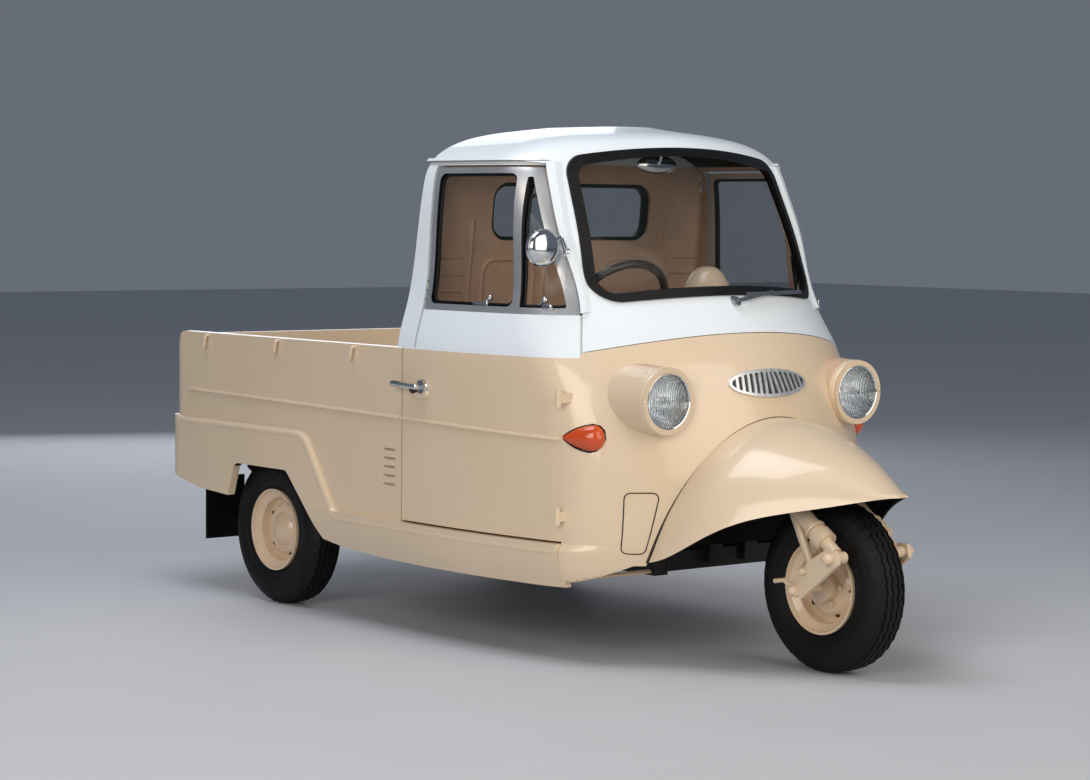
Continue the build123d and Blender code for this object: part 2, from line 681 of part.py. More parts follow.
def front_links():
    """Trailing links that carry the spindle between the leg pivots and the strut eyes."""
    links = rod((WHEELBASE, -LINK_Y, TYRE_R), (WHEELBASE, LINK_Y, TYRE_R), 11)
    for side in (-1, 1):
        y = side * LINK_Y
        outline = polygon((1975, 222), (2020, 222), (2158, 330), (2150, 368), (2112, 368), (2050, 330), (1972, 262))
        plate = prism_y(fillet(outline.vertices(), 9), y - 7, y + 7)
        links += plate
        links += rod((WHEELBASE, y - 16, TYRE_R), (WHEELBASE, y + 16, TYRE_R), 19)
        inner = side * (FORK_Y - 18)
        links += rod((STRUT_EYE[0], inner, STRUT_EYE[1]), (STRUT_EYE[0], y + side * 12, STRUT_EYE[1]), 17)
        links += rod((PIVOT[0], side * (FORK_Y + 15), PIVOT[1]), (PIVOT[0], y + side * 9, PIVOT[1]), 12)
    return links


def front_struts():
    """Lower half of the spring struts: a rod on the link's eye, under a wide collar."""
    eye, collar, foot, top = STRUT_STAGES
    strut = rod(along_strut(eye, FORK_Y), along_strut(foot, FORK_Y), 19)
    strut += rod(along_strut(collar, FORK_Y), along_strut(foot, FORK_Y), 33)
    return both_sides(strut)


# ---------------------------------------------------------------- cab controls and trim
def steering_wheel():
    """Three-spoked wheel on its column."""
    wheel = Pos(0, 0, 8) * Cylinder(28, 40) + Pos(0, 0, 200) * Cylinder(17, 392)
    for turn in (0, 180, 270):
        wheel += Rot(0, 0, turn) * Pos(96, 0, 0) * Rot(0, 90, 0) * Cylinder(6, 164)
    wheel += revolve(Plane.XZ * Pos(183, 0) * RegularPolygon(11.5, 8), Axis.Z, 360)
    return Plane(origin=WHEEL_CENTRE, x_dir=(0, 1, 0), z_dir=WHEEL_AXIS) * wheel


def headlamp_lenses():
    spread, height = HEADLAMP
    lens = HEADLAMP_R[2]
    x_rim = HEADLAMP_X[1]
    bulge = [(share * lens, 10 + 22 * (1 - share**2)) for share in (1, 0.9, 0.7, 0.45, 0.2, 0)]
    bulge += [(r, y - 4) for r, y in reversed(bulge)]
    dome = revolve(Plane.XY * Polygon(*bulge, align=None), Axis.Y, 360)
    return both_sides(Pos(x_rim, spread, height) * Rot(0, 0, -90) * dome)


def headlamp_bowls():
    """Reflector bowls behind the lenses."""
    spread, height = HEADLAMP
    x_rim = HEADLAMP_X[1]
    bowl = Pos(x_rim + 4 - 34, spread, height) * Rot(0, 90, 0) * Cone(34, 77, 68)
    hollow = Pos(x_rim + 4 - 30, spread, height) * Rot(0, 90, 0) * Cone(32, 75, 68)
    return both_sides(bowl - hollow)


def turn_signals():
    """Teardrop lamps on the nose corners, pointed to the rear."""
    drop = make_face([Line((-82, 0), (56, 0)), ThreePointArc((56, 0), (46, 26), (20, 38)),
                      ThreePointArc((20, 38), (-36, 26), (-82, 0))])
    solid = revolve(Plane.XY * drop, Axis.X, 360)
    solid = Rot(0, 0, 38) * scale(solid, by=(0.9, 0.75, 1))
    lamp = (Pos(1545, -529, 652) * solid) - cab_form(0)
    lamp = lamp.solids().sort_by(SortBy.VOLUME)[-1]
    return both_sides(lamp)


def grille():
    """Oval frame with slats that lean towards its middle, laid on the curve of the nose."""
    width, height, z = GRILLE
    pitch = (width - 34) / SLATS
    shape = Ellipse(width / 2, height / 2) - Ellipse(width / 2 - 9, height / 2 - 9)
    opening = Ellipse(width / 2 - 8, height / 2 - 8)
    for i in range(SLATS):
        y = (i - (SLATS - 1) / 2) * pitch
        lean = SLAT_LEAN * ((y > 1) - (y < -1))
        shape += (Pos(y, 0) * Rot(0, 0, lean) * Rectangle(9, height)) & opening
    return cab_wall(prism_x(Pos(0, z) * shape, 1600, 1900), -7, 0)


def mirror():
    """Round mirror on a bent arm from the right screen pillar."""
    head = Pos(1385, -572, 1185) * Rot(0, 90, 8) * Cylinder(54, 12)
    dome = Pos(1391, -572, 1185) * Rot(0, 90, 8) * scale(Sphere(52), by=(1, 1, 0.42))
    arm = rod((1402, -560, 1200), (1396, -512, 1216), 5) + rod((1396, -512, 1216), (1372, -470, 1176), 5)
    foot = Pos(1370, -466, 1172) * Sphere(13)
    return (head + dome + arm + foot) - cab_form(0) - pillar_rail()


def wiper():
    """Wiper parked along the foot of the screen: pivot, arm and blade."""
    pivot = cab_wall(Pos(1540, -14, 1034) * Rot(0, 90, 0) * Cylinder(13, 160), -14, 0)
    reach = Polygon((-14, 1030), (-14, 1040), (150, 1063), (150, 1056), align=None)
    arm = cab_wall(prism_x(reach, 1400, 1700), -21, -13)
    strip = Polygon((33, 1047), (33, 1058), (326, 1060), (326, 1049), align=None)
    blade = cab_wall(prism_x(strip, 1400, 1700), -14, -8)
    return pivot + arm + blade


def door_hinges():
    """Outside hinge barrels at the front edge of each door, on short lugs from the nose."""
    pieces = []
    for z in DOOR_HINGE_Z:
        barrel = rod((DOOR_HINGE_X, -DOOR_HINGE_Y, z - 24), (DOOR_HINGE_X, -DOOR_HINGE_Y, z + 24), 9)
        web = block(DOOR_HINGE_X, DOOR_HINGE_X + 7, -DOOR_HINGE_Y - 2, -DOOR_HINGE_Y + 50, z - 14, z + 14)
        pieces.append((barrel + web) - cab_form(0))
    return both_sides(Compound(children=pieces))


NODES = {}


def add(name, shape):
    NODES[name] = shape


def add_pair(name, right):
    add(name + "_right", right)
    add(name + "_left", mirrored(right))


def hub_drum(y, side):
    """Brake drum with its cap, inside a rear wheel."""
    drum = revolve_y([(0, -52 * side), (102, -52 * side), (102, -8 * side), (70, 2 * side), (0, 2 * side)], 0, y, TYRE_R)
    cap = revolve_y([(0, 0), (34, 0), (34, 26 * side), (26, 36 * side), (0, 40 * side)], 0, y, TYRE_R)
    return drum + cap


def front_hub():
    hub = revolve_y([(11.5, -48), (40, -48), (40, 48), (11.5, 48)], WHEELBASE, 0, TYRE_R)
    return hub + revolve_y([(30, 0), (60, 0), (60, 16), (30, 16)], WHEELBASE, 0, TYRE_R)


def build():
    fixed = (nose_panel, cab_shell, roof, bulkhead, floor_and_firewall, screen_glass, screen_rubber, dashboard,
             seat_cushion, seat_back, front_fender, bed_floor, rear_valance, tail_lamps, mud_flaps, chassis_frame,
             steering_head, rear_axle, leaf_springs, engine_block, silencer, headlamp_lenses, headlamp_bowls,
             turn_signals, grille, mirror, wiper, door_hinges, tailgate, fork, front_links, front_struts,
             steering_wheel)
    for maker in fixed:
        add(maker.__name__, maker())
    add_pair("side_panel", side_panel_right())
    add_pair("door", door_right())
    add_pair("window_frame", window_frame_right())
    add_pair("window_glass", window_glass_right())
    add_pair("door_handle", door_handle_right())
    add("front_tyre", wheel_pair_tyre(WHEELBASE, 0))
    add("front_rim", wheel_rim(WHEELBASE, 0, -1) + front_hub())
    for side, word in ((-1, "right"), (1, "left")):
        y = side * REAR_TRACK_HALF
        add("rear_tyre_" + word, wheel_pair_tyre(0, y))
        add("rear_rim_" + word, wheel_rim(0, y, side) + hub_drum(y, side))


def export():
    os.makedirs("parts", exist_ok=True)
    for name, shape in NODES.items():
        export_step(Pos(-ORIGIN_X, 0, 0) * shape, f"parts/{name}.step")


if __name__ == "__main__":
    build()
    export()
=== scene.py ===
"""Dresses a small closed-cab three-wheeled truck: finishes, tyres, lamps, trim, seat and stage."""

import json
import math

import bpy
from bpy.props import FloatProperty, FloatVectorProperty, IntProperty, PointerProperty
from mathutils import Matrix, Vector


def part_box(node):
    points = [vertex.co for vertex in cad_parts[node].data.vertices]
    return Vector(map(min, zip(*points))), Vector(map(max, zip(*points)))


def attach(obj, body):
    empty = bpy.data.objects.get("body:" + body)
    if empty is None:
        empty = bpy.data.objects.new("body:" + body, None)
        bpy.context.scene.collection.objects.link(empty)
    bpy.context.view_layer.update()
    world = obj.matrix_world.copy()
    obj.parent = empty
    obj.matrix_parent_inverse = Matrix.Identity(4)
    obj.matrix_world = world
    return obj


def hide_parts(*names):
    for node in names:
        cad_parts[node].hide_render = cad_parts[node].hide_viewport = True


bl_info = {
    "name": "Three-wheeled truck dressing",
    "version": (1, 0, 0),
    "blender": (4, 5, 0),
    "location": "3D View > Sidebar > Truck",
    "description": "Builds the finishes and fittings of a small three-wheeled truck around its frame",
    "category": "Object",
}

MM = 0.001
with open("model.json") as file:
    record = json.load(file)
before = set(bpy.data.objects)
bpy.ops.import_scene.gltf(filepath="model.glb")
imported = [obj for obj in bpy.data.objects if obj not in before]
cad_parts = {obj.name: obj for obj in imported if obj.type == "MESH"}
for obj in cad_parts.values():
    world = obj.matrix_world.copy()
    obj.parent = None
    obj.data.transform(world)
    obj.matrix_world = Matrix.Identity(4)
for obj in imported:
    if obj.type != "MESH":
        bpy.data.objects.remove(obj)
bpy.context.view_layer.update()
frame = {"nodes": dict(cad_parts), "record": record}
NODES = frame["nodes"]
REAR_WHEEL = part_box("rear_tyre_right")
AXLE_X = (REAR_WHEEL[0].x + REAR_WHEEL[1].x) / 2
SIDES = {"right": -1, "left": 1}

# Places in millimetres: ahead of the rear axle, left of the middle, above the ground.
BELT = 874                      # where the door's paint changes colour
BODY_SIDE = 630                 # half the width over the doors
OUTSIDE = 700                   # a plane beside the body, from which drawings are pressed on
HOOK_X = (-310, 115, 541)       # rope hooks along the bed side
WHEEL_Z = 243                   # height of the wheel centres
WHEELBASE = 1997
REAR_TRACK = 1030


def spot(x, y, z):
    """A place in millimetres from the ground under the rear axle, as a point of the frame."""
    return Vector((AXLE_X + x * MM, y * MM, z * MM))


def linear(hex_colour):
    """An sRGB hex colour as linear values with full alpha."""
    values = [int(hex_colour[i : i + 2], 16) / 255 for i in (1, 3, 5)]
    return tuple(v / 12.92 if v <= 0.04045 else ((v + 0.055) / 1.055) ** 2.4 for v in values) + (1.0,)


# ---------------------------------------------------------------- settings a user may change
def colour(name, description, hex_colour):
    """A paint colour in the sidebar."""
    return FloatVectorProperty(name=name, description=description, default=linear(hex_colour), size=4,
                               min=0, max=1, subtype="COLOR")


def length(name, description, millimetres):
    """A size in the sidebar, given here in millimetres."""
    return FloatProperty(name=name, description=description, default=millimetres * MM, unit="LENGTH")


class TruckPaint(bpy.types.PropertyGroup):
    """Colours of the truck's finishes and of the studio floor"""

    cream: colour("Cream", "Enamel of the lower body", "#E0CBAE")
    white: colour("White", "Enamel of the cab's upper half", "#E9F2F8")
    tan: colour("Tan", "Enamel inside the cab", "#D2B297")
    wheel: colour("Wheel", "Enamel of the wheels", "#E4CBAC")
    black: colour("Chassis black", "Enamel of the underside", "#0B0B0B")
    orange: colour("Orange", "Turn signal plastic", "#D4511C")
    red: colour("Red", "Tail lamp plastic", "#A81410")
    vinyl: colour("Vinyl", "Bench covering", "#B2484A")
    floor: colour("Floor", "Studio floor", "#C9CCD0")


class TruckSizes(bpy.types.PropertyGroup):
    """Sizes of the trim and the tread, and the camera's lens"""

    bead: length("Bead", "Half width of the pressed line along the body side", 6.5)
    seam: length("Seam", "Half width of the dark seams", 1.9)
    tread_depth: length("Tread depth", "Depth of the tyre grooves", 5.0)
    tread_steps: IntProperty(name="Tread steps", description="Corners of the zigzag round a tyre",
                             default=168)
    camera_lens: FloatProperty(name="Lens", description="Focal length of the camera", default=87.54,
                               subtype="DISTANCE_CAMERA")


# ---------------------------------------------------------------- shaders
def add_node(tree, kind, inputs=(), **settings):
    """Add a shader node; an input's value may be another node's output socket."""
    new = tree.nodes.new(kind)
    for name, value in settings.items():
        setattr(new, name, value)
    for socket, value in dict(inputs).items():
        if isinstance(value, bpy.types.NodeSocket):
            tree.links.new(value, new.inputs[socket])
        else:
            new.inputs[socket].default_value = value
    return new


def shade(tint, factor):
    """A colour made darker or lighter."""
    return tuple(channel * factor for channel in tint[:3]) + (1.0,)


def finish(name, tones, drift, rough, grain=4.0, depth=0.1, **sockets):
    """A surface whose colour and roughness drift over some millimetres, with a fine relief.

    tones are its two colours, rough its two roughnesses, drift the size of the drift, and grain and
    depth the size and height of the relief, in millimetres. What is the same all over is set on
    the shader's own sockets. Returns the material and its nodes by name."""
    material = bpy.data.materials.new(name)
    material.use_nodes = True
    tree = material.node_tree
    tree.nodes.clear()
    place = add_node(tree, "ShaderNodeTexCoord").outputs["Object"]
    cloud = add_node(tree, "ShaderNodeTexNoise", {"Vector": place, "Scale": 1000 / drift, "Detail": 3.0})
    span = {"Value": cloud.outputs["Fac"], "From Min": 0.3, "From Max": 0.7}
    share = add_node(tree, "ShaderNodeMapRange", span)
    mixed = {"Factor": share.outputs[0], 6: tones[0], 7: tones[1]}
    body = add_node(tree, "ShaderNodeMix", mixed, data_type="RGBA")
    gloss = add_node(tree, "ShaderNodeMapRange", {**span, "To Min": rough[0], "To Max": rough[1]})
    fine = add_node(tree, "ShaderNodeTexNoise", {"Vector": place, "Scale": 1000 / grain, "Detail": 4.0})
    height = {"Height": fine.outputs["Fac"], "Distance": depth * MM, "Strength": 0.5}
    relief = add_node(tree, "ShaderNodeBump", height)
    inputs = {"Base Color": body.outputs[2], "Roughness": gloss.outputs[0]}
    inputs["Normal"] = relief.outputs["Normal"]
    inputs.update({socket.replace("_", " "): value for socket, value in sockets.items()})
    shader = add_node(tree, "ShaderNodeBsdfPrincipled", inputs)
    add_node(tree, "ShaderNodeOutputMaterial", {"Surface": shader.outputs[0]})
    nodes = {"tree": tree, "place": place, "body": body, "relief": relief, "shader": shader, "fine": fine}
    return material, nodes


def enamel(name, paint, upper=None, change_height=0.0):
    """Stoved alkyd enamel, sprayed on pressed steel: a deep gloss over a faint ripple.

    A second paint, where given, covers what stands above change_height metres."""
    material, nodes = finish(name, (shade(paint, 0.965), paint), 350, (0.3, 0.4), 7, 0.12, IOR=1.5,
                             Coat_Weight=0.55, Coat_Roughness=0.07)
    if upper:
        tree = nodes["tree"]
        height = add_node(tree, "ShaderNodeSeparateXYZ", {"Vector": nodes["place"]}).outputs["Z"]
        above = add_node(tree, "ShaderNodeMath", {0: height, 1: change_height}, operation="GREATER_THAN")
        inputs = {"Factor": above.outputs[0], 6: nodes["body"].outputs[2], 7: upper}
        both = add_node(tree, "ShaderNodeMix", inputs, data_type="RGBA")
        tree.links.new(both.outputs[2], nodes["shader"].inputs["Base Color"])
    return material


def dull_enamel(name, paint, rough=(0.5, 0.62)):
    """Thin brushed alkyd enamel inside and below: satin, with dust in its hollows."""
    return finish(name, (shade(paint, 0.86), paint), 60, rough, 4, 0.2, IOR=1.5)[0]


def chromium():
    """Chromium plate on polished steel: a mirror with the slightest haze."""
    return finish("chromium_plate", (linear("#CFD2D4"), linear("#E2E4E6")), 30, (0.05, 0.12), 9, 0.02,
                  Metallic=1.0)[0]


def anodised():
    """Anodised drawn aluminium channel: pale satin metal with fine lines along it."""
    tones = (linear("#D0D2D3"), linear("#DEDFE0"))
    material, nodes = finish("anodised_aluminium", tones, 200, (0.26, 0.34), 1.5, 0.01, Metallic=0.85)
    # The drawing lines are 0.2 mm apart on the real channel and are drawn 1.5 mm apart to show.
    along = add_node(nodes["tree"], "ShaderNodeMapping", {"Vector": nodes["place"], "Scale": (0.03, 1, 1)})
    nodes["tree"].links.new(along.outputs[0], nodes["fine"].inputs["Vector"])
    return material


def nickel_steel():
    """Dull nickel-plated spring steel: greyer and softer than chrome."""
    return finish("nickel_plated_steel", (linear("#A6A8AB"), linear("#B4B6B8")), 10, (0.24, 0.34), 5, 0.003,
                  Metallic=1.0)[0]


def stainless_slats():
    """Buffed stainless steel: bright, with a soft spread to its shine."""
    return finish("buffed_stainless_steel", (linear("#DADDE0"), linear("#ECEEEF")), 10, (0.26, 0.4), 5, 0.03,
                  Metallic=0.8)[0]


def reflector():
    """Silvered steel reflector: a soft mirror that throws the light back."""
    return finish("silvered_reflector", (linear("#E9EDF2"), linear("#F8FAFC")), 20, (0.2, 0.34), 9, 0.05,
                  Metallic=0.9)[0]


def rubber(name, tone, rough, grain):
    """Moulded carbon-black rubber: no colour, a broad faint sheen and a moulded grain."""
    tones = (shade(linear(tone), 0.8), shade(linear(tone), 1.25))
    return finish(name, tones, 50, rough, grain, 0.3, IOR=1.52, Specular_IOR_Level=0.28)[0]


def window_pane():
    """Float glass 5 mm thick: clear, seen by its reflection and a faint dark body."""
    tones = (linear("#1B2321"), linear("#212A28"))
    material = finish("float_glass", tones, 120, (0.01, 0.05), 60, 0.01, IOR=1.5, Alpha=0.14)[0]
    material.surface_render_method = "BLENDED"
    return material


def lamp_glass():
    """Pressed borosilicate headlamp glass: clear, with upright flutes moulded inside."""
    tones = (linear("#EEF3F6"), linear("#F6F9FA"))
    material, nodes = finish("pressed_lamp_glass", tones, 50, (0.02, 0.05), 7, 0.5, IOR=1.5,
                             Transmission_Weight=1.0)
    tree = nodes["tree"]
    across = add_node(tree, "ShaderNodeSeparateXYZ", {"Vector": nodes["place"]}).outputs["Y"]
    # A flute is 7 mm wide.
    turns = add_node(tree, "ShaderNodeMath", {0: across, 1: 2 * math.pi / (7 * MM)}, operation="MULTIPLY")
    flute = add_node(tree, "ShaderNodeMath", {0: turns.outputs[0]}, operation="SINE")
    tree.links.new(flute.outputs[0], nodes["relief"].inputs["Height"])
    return material


def lamp_plastic(name, tint):
    """Moulded acrylic lamp cover: saturated, glossy and a little see-through at its edges."""
    return finish(name, (shade(tint, 0.82), tint), 40, (0.12, 0.2), 10, 0.3, IOR=1.49, Coat_Weight=0.5,
                  Coat_Roughness=0.04, Subsurface_Weight=0.06, Subsurface_Radius=(0.012, 0.003, 0.001))[0]


def leathercloth(tint):
    """Leathercloth, vinyl on cotton: embossed pebbles, a soft plastic sheen and worn crests."""
    material, nodes = finish("red_leathercloth", (shade(tint, 0.85), tint), 80, (0.42, 0.55), 3, 0.4, IOR=1.5,
                             Sheen_Weight=0.15, Sheen_Roughness=0.4)
    # The embossed pebbles are 1.2 mm across and are drawn at 2.4 mm to show.
    inputs = {"Vector": nodes["place"], "Scale": 1000 / 2.4}
    pebbles = add_node(nodes["tree"], "ShaderNodeTexVoronoi", inputs, feature="SMOOTH_F1")
    nodes["tree"].links.new(pebbles.outputs[0], nodes["relief"].inputs["Height"])
    return material


def bakelite():
    """Moulded bakelite of the hand wheel and knobs: near black with a wet gloss."""
    return finish("moulded_bakelite", (linear("#0D0D0D"), linear("#151515")), 50, (0.12, 0.24), 12, 0.2,
                  IOR=1.6)[0]


def cast_iron():
    """Sand-cast iron under thin engine paint: dull and pitted."""
    return finish("cast_iron", (linear("#1A1B1C"), linear("#3A3B3C")), 6, (0.55, 0.7), 3, 0.6,
                  Metallic=0.4)[0]


def ceiling_shade_finish():
    """Painted shade under the roof inside the cab: very dark, matt and slightly fuzzy."""
    return finish("ceiling_painted_shade", (linear("#120E0C"), linear("#2A211C")), 4, (0.86, 0.94), 3, 0.5,
                  IOR=1.45)[0]


def sealer_and_painted_shade():
    """Butyl sealer and shadow in a shut line, and painted shade in the handle hollows and wheel holes: a
    brown black that takes no light.
    """
    return finish("butyl_sealer", (linear("#2E241C"), linear("#44362B")), 20, (0.76, 0.84), 4, 0.1,
                  IOR=1.45)[0]


def underseal():
    """Sprayed black bitumen, which also stands for the shade in the wheel wells and under the body: matt and
    orange-peeled.
    """
    return finish("bitumen_underseal", (linear("#070606"), linear("#15120F")), 8, (0.8, 0.9), 8, 0.8, IOR=1.5,
                  Specular_IOR_Level=0.2)[0]


def studio_floor(tint):
    """Painted plywood floor: pale, matt, with faint scuffs."""
    return finish("painted_studio_floor", (shade(tint, 0.97), tint), 500, (0.7, 0.8), 10, 0.3)[0]


FINISHES = {}


def make_finishes():
    """Every finish once, under the record's slot name where it has one."""
    paint = bpy.context.scene.truck_paint
    cream, white = tuple(paint.cream), tuple(paint.white)
    FINISHES.update(
        cream_paint=enamel("cream_enamel", cream),
        white_paint=enamel("white_enamel", white),
        door_paint=enamel("two_tone_enamel", cream, white, BELT * MM),
        tan_trim=dull_enamel("tan_satin_enamel", tuple(paint.tan)),
        screen_glass=window_pane(),
        black_rubber=rubber("window_rubber", "#08080A", (0.38, 0.52), 4),
        tyre_rubber=rubber("tyre_rubber", "#070708", (0.55, 0.7), 3),
        red_vinyl=leathercloth(tuple(paint.vinyl)),
        window_aluminium=anodised(),
        bright_chrome=chromium(),
        lamp_glass=lamp_glass(),
        reflector=reflector(),
        orange_lens=lamp_plastic("orange_acrylic", tuple(paint.orange)),
        red_lens=lamp_plastic("red_acrylic", tuple(paint.red)),
        chassis_black=dull_enamel("chassis_enamel", tuple(paint.black), (0.54, 0.68)),
        engine_iron=cast_iron(),
        wheel_paint=enamel("wheel_enamel", tuple(paint.wheel)),
        black_plastic=bakelite(),
        wiper_steel=nickel_steel(),
        # The ceiling: near-black painted shade under the roof.
        headliner=ceiling_shade_finish(),
        # Sealer in the shut lines, and painted shade in the handle hollows and wheel holes.
        seam=sealer_and_painted_shade(),
        # Black bitumen, and painted shade in the wheel wells and under the body.
        underseal=underseal(),
        grille_metal=stainless_slats(),
        # grille_back: a dark sheet of painted shade for the opening behind the grille.
        grille_back=dull_enamel("grille_opening_painted_shade", linear("#23282F"), (0.44, 0.56)),
    )


# ---------------------------------------------------------------- modelling tools
def focus(*pieces):
    """Select these objects alone, the first of them active."""
    if bpy.context.mode != "OBJECT":
        bpy.ops.object.mode_set(mode="OBJECT")
    bpy.ops.object.select_all(action="DESELECT")
    for piece in pieces:
        piece.select_set(True)
    bpy.context.view_layer.objects.active = pieces[0]


def settle(piece, name=None):
    """Put a piece's place into its mesh, so that its object stands at the origin."""
    focus(piece)
    if name:
        piece.name = name
        piece.data.name = name
    bpy.ops.object.transform_apply(location=True, rotation=True, scale=True)
    return piece


def edit(piece):
    """Open one piece's mesh for editing."""
    focus(piece)
    bpy.ops.object.mode_set(mode="EDIT")


def done():
    """Leave the mesh and go back to the object."""
    bpy.ops.object.mode_set(mode="OBJECT")


def pick(piece, is_wanted):
    """Open a piece's mesh with only the corners selected whose place passes a test."""
    edit(piece)
    bpy.ops.mesh.select_all(action="DESELECT")
    done()
    for vertex in piece.data.vertices:
        vertex.select = is_wanted(vertex.co)
    bpy.ops.object.mode_set(mode="EDIT")


def subdivide(piece, cuts):
    """Cut every edge of a piece."""
    edit(piece)
    bpy.ops.mesh.select_all(action="SELECT")
    bpy.ops.mesh.subdivide(number_cuts=cuts)
    done()


def apply(piece, kind, **settings):
    """Add a modifier and apply it."""
    focus(piece)
    modifier = piece.modifiers.new(kind.lower(), kind)
    for name, value in settings.items():
        setattr(modifier, name, value)
    bpy.ops.object.modifier_apply(modifier=modifier.name)
    return piece


def fresh(add, location=(0, 0, 0), **settings):
    """Add a primitive with nothing else selected, since a new one is selected all over."""
    bpy.ops.object.select_all(action="DESELECT")
    add(location=location, **settings)
    return bpy.context.object


def draw_line(name, points):
    """A chain of edges, drawn by extruding a corner from each point to the next."""
    piece = settle(fresh(bpy.ops.mesh.primitive_plane_add, size=MM, location=points[0]), name)
    edit(piece)
    bpy.ops.mesh.merge(type="CENTER")
    for before, after in zip(points, points[1:]):
        step = Vector(after) - Vector(before)
        bpy.ops.mesh.extrude_vertices_move(TRANSFORM_OT_translate={"value": step})
    done()
    return piece


def close_up(piece, gap=1e-5):
    """Merge doubles and turn every face outwards."""
    edit(piece)
    bpy.ops.mesh.select_all(action="SELECT")
    bpy.ops.mesh.remove_doubles(threshold=gap)
    bpy.ops.mesh.normals_make_consistent(inside=False)
    done()
    return piece


def turned(name, profile, centre, axis, steps=48, closed=True):
    """A turned piece: a profile of (radius, distance along the axis) pairs in millimetres, spun."""
    along = Vector(axis).normalized()
    outwards = along.orthogonal().normalized()
    points = [Vector(centre) + outwards * r * MM + along * a * MM for r, a in profile]
    if closed:
        points.append(points[0])
    piece = draw_line(name, points)
    edit(piece)
    bpy.ops.mesh.select_all(action="SELECT")
    bpy.ops.mesh.spin(steps=steps, angle=2 * math.pi, center=centre, axis=along)
    done()
    return close_up(piece)


def tube(name, points, radius, sides=2, smooth=False):
    """A round tube along a chain of points."""
    piece = draw_line(name, points)
    return thicken_line(piece, radius, sides, smooth)


def thicken_line(piece, radius, sides=2, smooth=False):
    """Turn a chain of edges into a round tube, with its corners smoothed if asked."""
    focus(piece)
    bpy.ops.object.convert(target="CURVE")
    piece = bpy.context.object
    for spline in piece.data.splines:
        if smooth:
            spline.type = "NURBS"
            spline.order_u = 3
            spline.use_endpoint_u = not spline.use_cyclic_u
            spline.resolution_u = 4
    piece.data.bevel_depth = radius
    piece.data.bevel_resolution = sides
    piece.data.use_fill_caps = True
    bpy.ops.object.convert(target="MESH")
    return close_up(bpy.context.object, 1e-7)


def lay_on(piece, node, axis):
    """Press a flat drawing onto a panel, along one axis (x, y or z) and its sign."""
    modifier = {"wrap_method": "PROJECT", "target": NODES[node], "use_project_" + axis[1]: True}
    modifier["use_positive_direction"] = axis[0] == "+"
    modifier["use_negative_direction"] = axis[0] == "-"
    return apply(piece, "SHRINKWRAP", **modifier)


def bead(name, node, axis, points, radius, cuts=6, sides=2):
    """A half-round line that follows a panel: drawn flat, cut, pressed on and thickened."""
    piece = draw_line(name, points)
    subdivide(piece, cuts)
    lay_on(piece, node, axis)
    return thicken_line(piece, radius, sides)


def rounded_loop(corners, radius, steps=5):
    """Points round a polygon of 2D corners with each corner cut to an arc."""
    points = []
    count = len(corners)
    for i, corner in enumerate(corners):
        here = Vector(corner)
        before, after = Vector(corners[i - 1]), Vector(corners[(i + 1) % count])
        a, b = (before - here).normalized(), (after - here).normalized()
        half = math.acos(max(-1, min(1, a.dot(b)))) / 2
        reach = radius / math.tan(half)
        centre = here + (a + b).normalized() * radius / math.sin(half)
        first, last = here + a * reach - centre, here + b * reach - centre
        turn = first.angle_signed(last)
        for step in range(steps + 1):
            spun = first.copy()
            spun.rotate(Matrix.Rotation(-turn * step / steps, 2))
            points.append(centre + spun)
    return points


def box_piece(name, centre, size, bevel=0.0, segments=3):
    """A block with rounded edges; centre and size in metres."""
    piece = fresh(bpy.ops.mesh.primitive_cube_add, size=1, location=centre)
    piece.scale = size
    settle(piece, name)
    if bevel:
        apply(piece, "BEVEL", width=bevel, segments=segments, limit_method="ANGLE")
    return piece


def ball(name, centre, radius, squeeze=(1, 1, 1)):
    """A ball, or an egg where it is squeezed along x, y or z."""
    piece = fresh(bpy.ops.mesh.primitive_uv_sphere_add, segments=20, ring_count=12, radius=radius,
                  location=centre)
    piece.scale = squeeze
    return settle(piece, name)


def joined(name, pieces):
    """Several meshes as one piece."""
    focus(*pieces)
    if len(pieces) > 1:
        bpy.ops.object.join()
    piece = bpy.context.object
    piece.name = name
    piece.data.name = name
    return piece


def copied(piece, name, matrix):
    """A copy with its own mesh, moved by a matrix."""
    focus(piece)
    bpy.ops.object.duplicate(linked=False)
    twin = bpy.context.object
    twin.data.transform(matrix)
    twin.name = name
    twin.data.name = name
    if matrix.determinant() < 0:
        close_up(twin, 1e-7)
    return twin


def dress(piece, coat, body, angle=35):
    """Give a new piece its finish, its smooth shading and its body."""
    focus(piece)
    piece.data.materials.clear()
    piece.data.materials.append(FINISHES[coat])
    bpy.ops.object.shade_smooth_by_angle(angle=math.radians(angle))
    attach(piece, body)


def dress_both(piece, coat, body):
    """Dress a right-hand piece, and its mirror image on the left side or the left door."""
    dress(piece, coat, body)
    twin = copied(piece, piece.name.replace("right", "left"), Matrix.Scale(-1, 4, (0, 1, 0)))
    dress(twin, coat, body.replace("right", "left"))



# ---------------------------------------------------------------- finishes on the frame
def assign(node, coat):
    """Put a finish on a piece of the frame."""
    piece = NODES[node]
    if not piece.material_slots:
        piece.data.materials.append(FINISHES[coat])
    for slot in piece.material_slots:
        slot.material = FINISHES[coat]


def assign_inside(node, coat, is_inside):
    """Give the faces of a panel that pass a test a second finish."""
    mesh = NODES[node].data
    mesh.materials.append(FINISHES[coat])
    second = len(mesh.materials) - 1
    for face in mesh.polygons:
        if is_inside(face.center, face.normal):
            face.material_index = second


def faces_cabin(centre, normal):
    """Whether a face looks towards the middle of the cab, and isn't the shut edge of a side wall."""
    inner_wall = 0.577 - 0.147 * (centre.z - 1.01)
    if abs(normal.x) > 0.8 and abs(centre.y) > inner_wall:
        return False
    middle = spot(1230, 0, 1000)
    return normal.dot(middle - centre) > 0.02


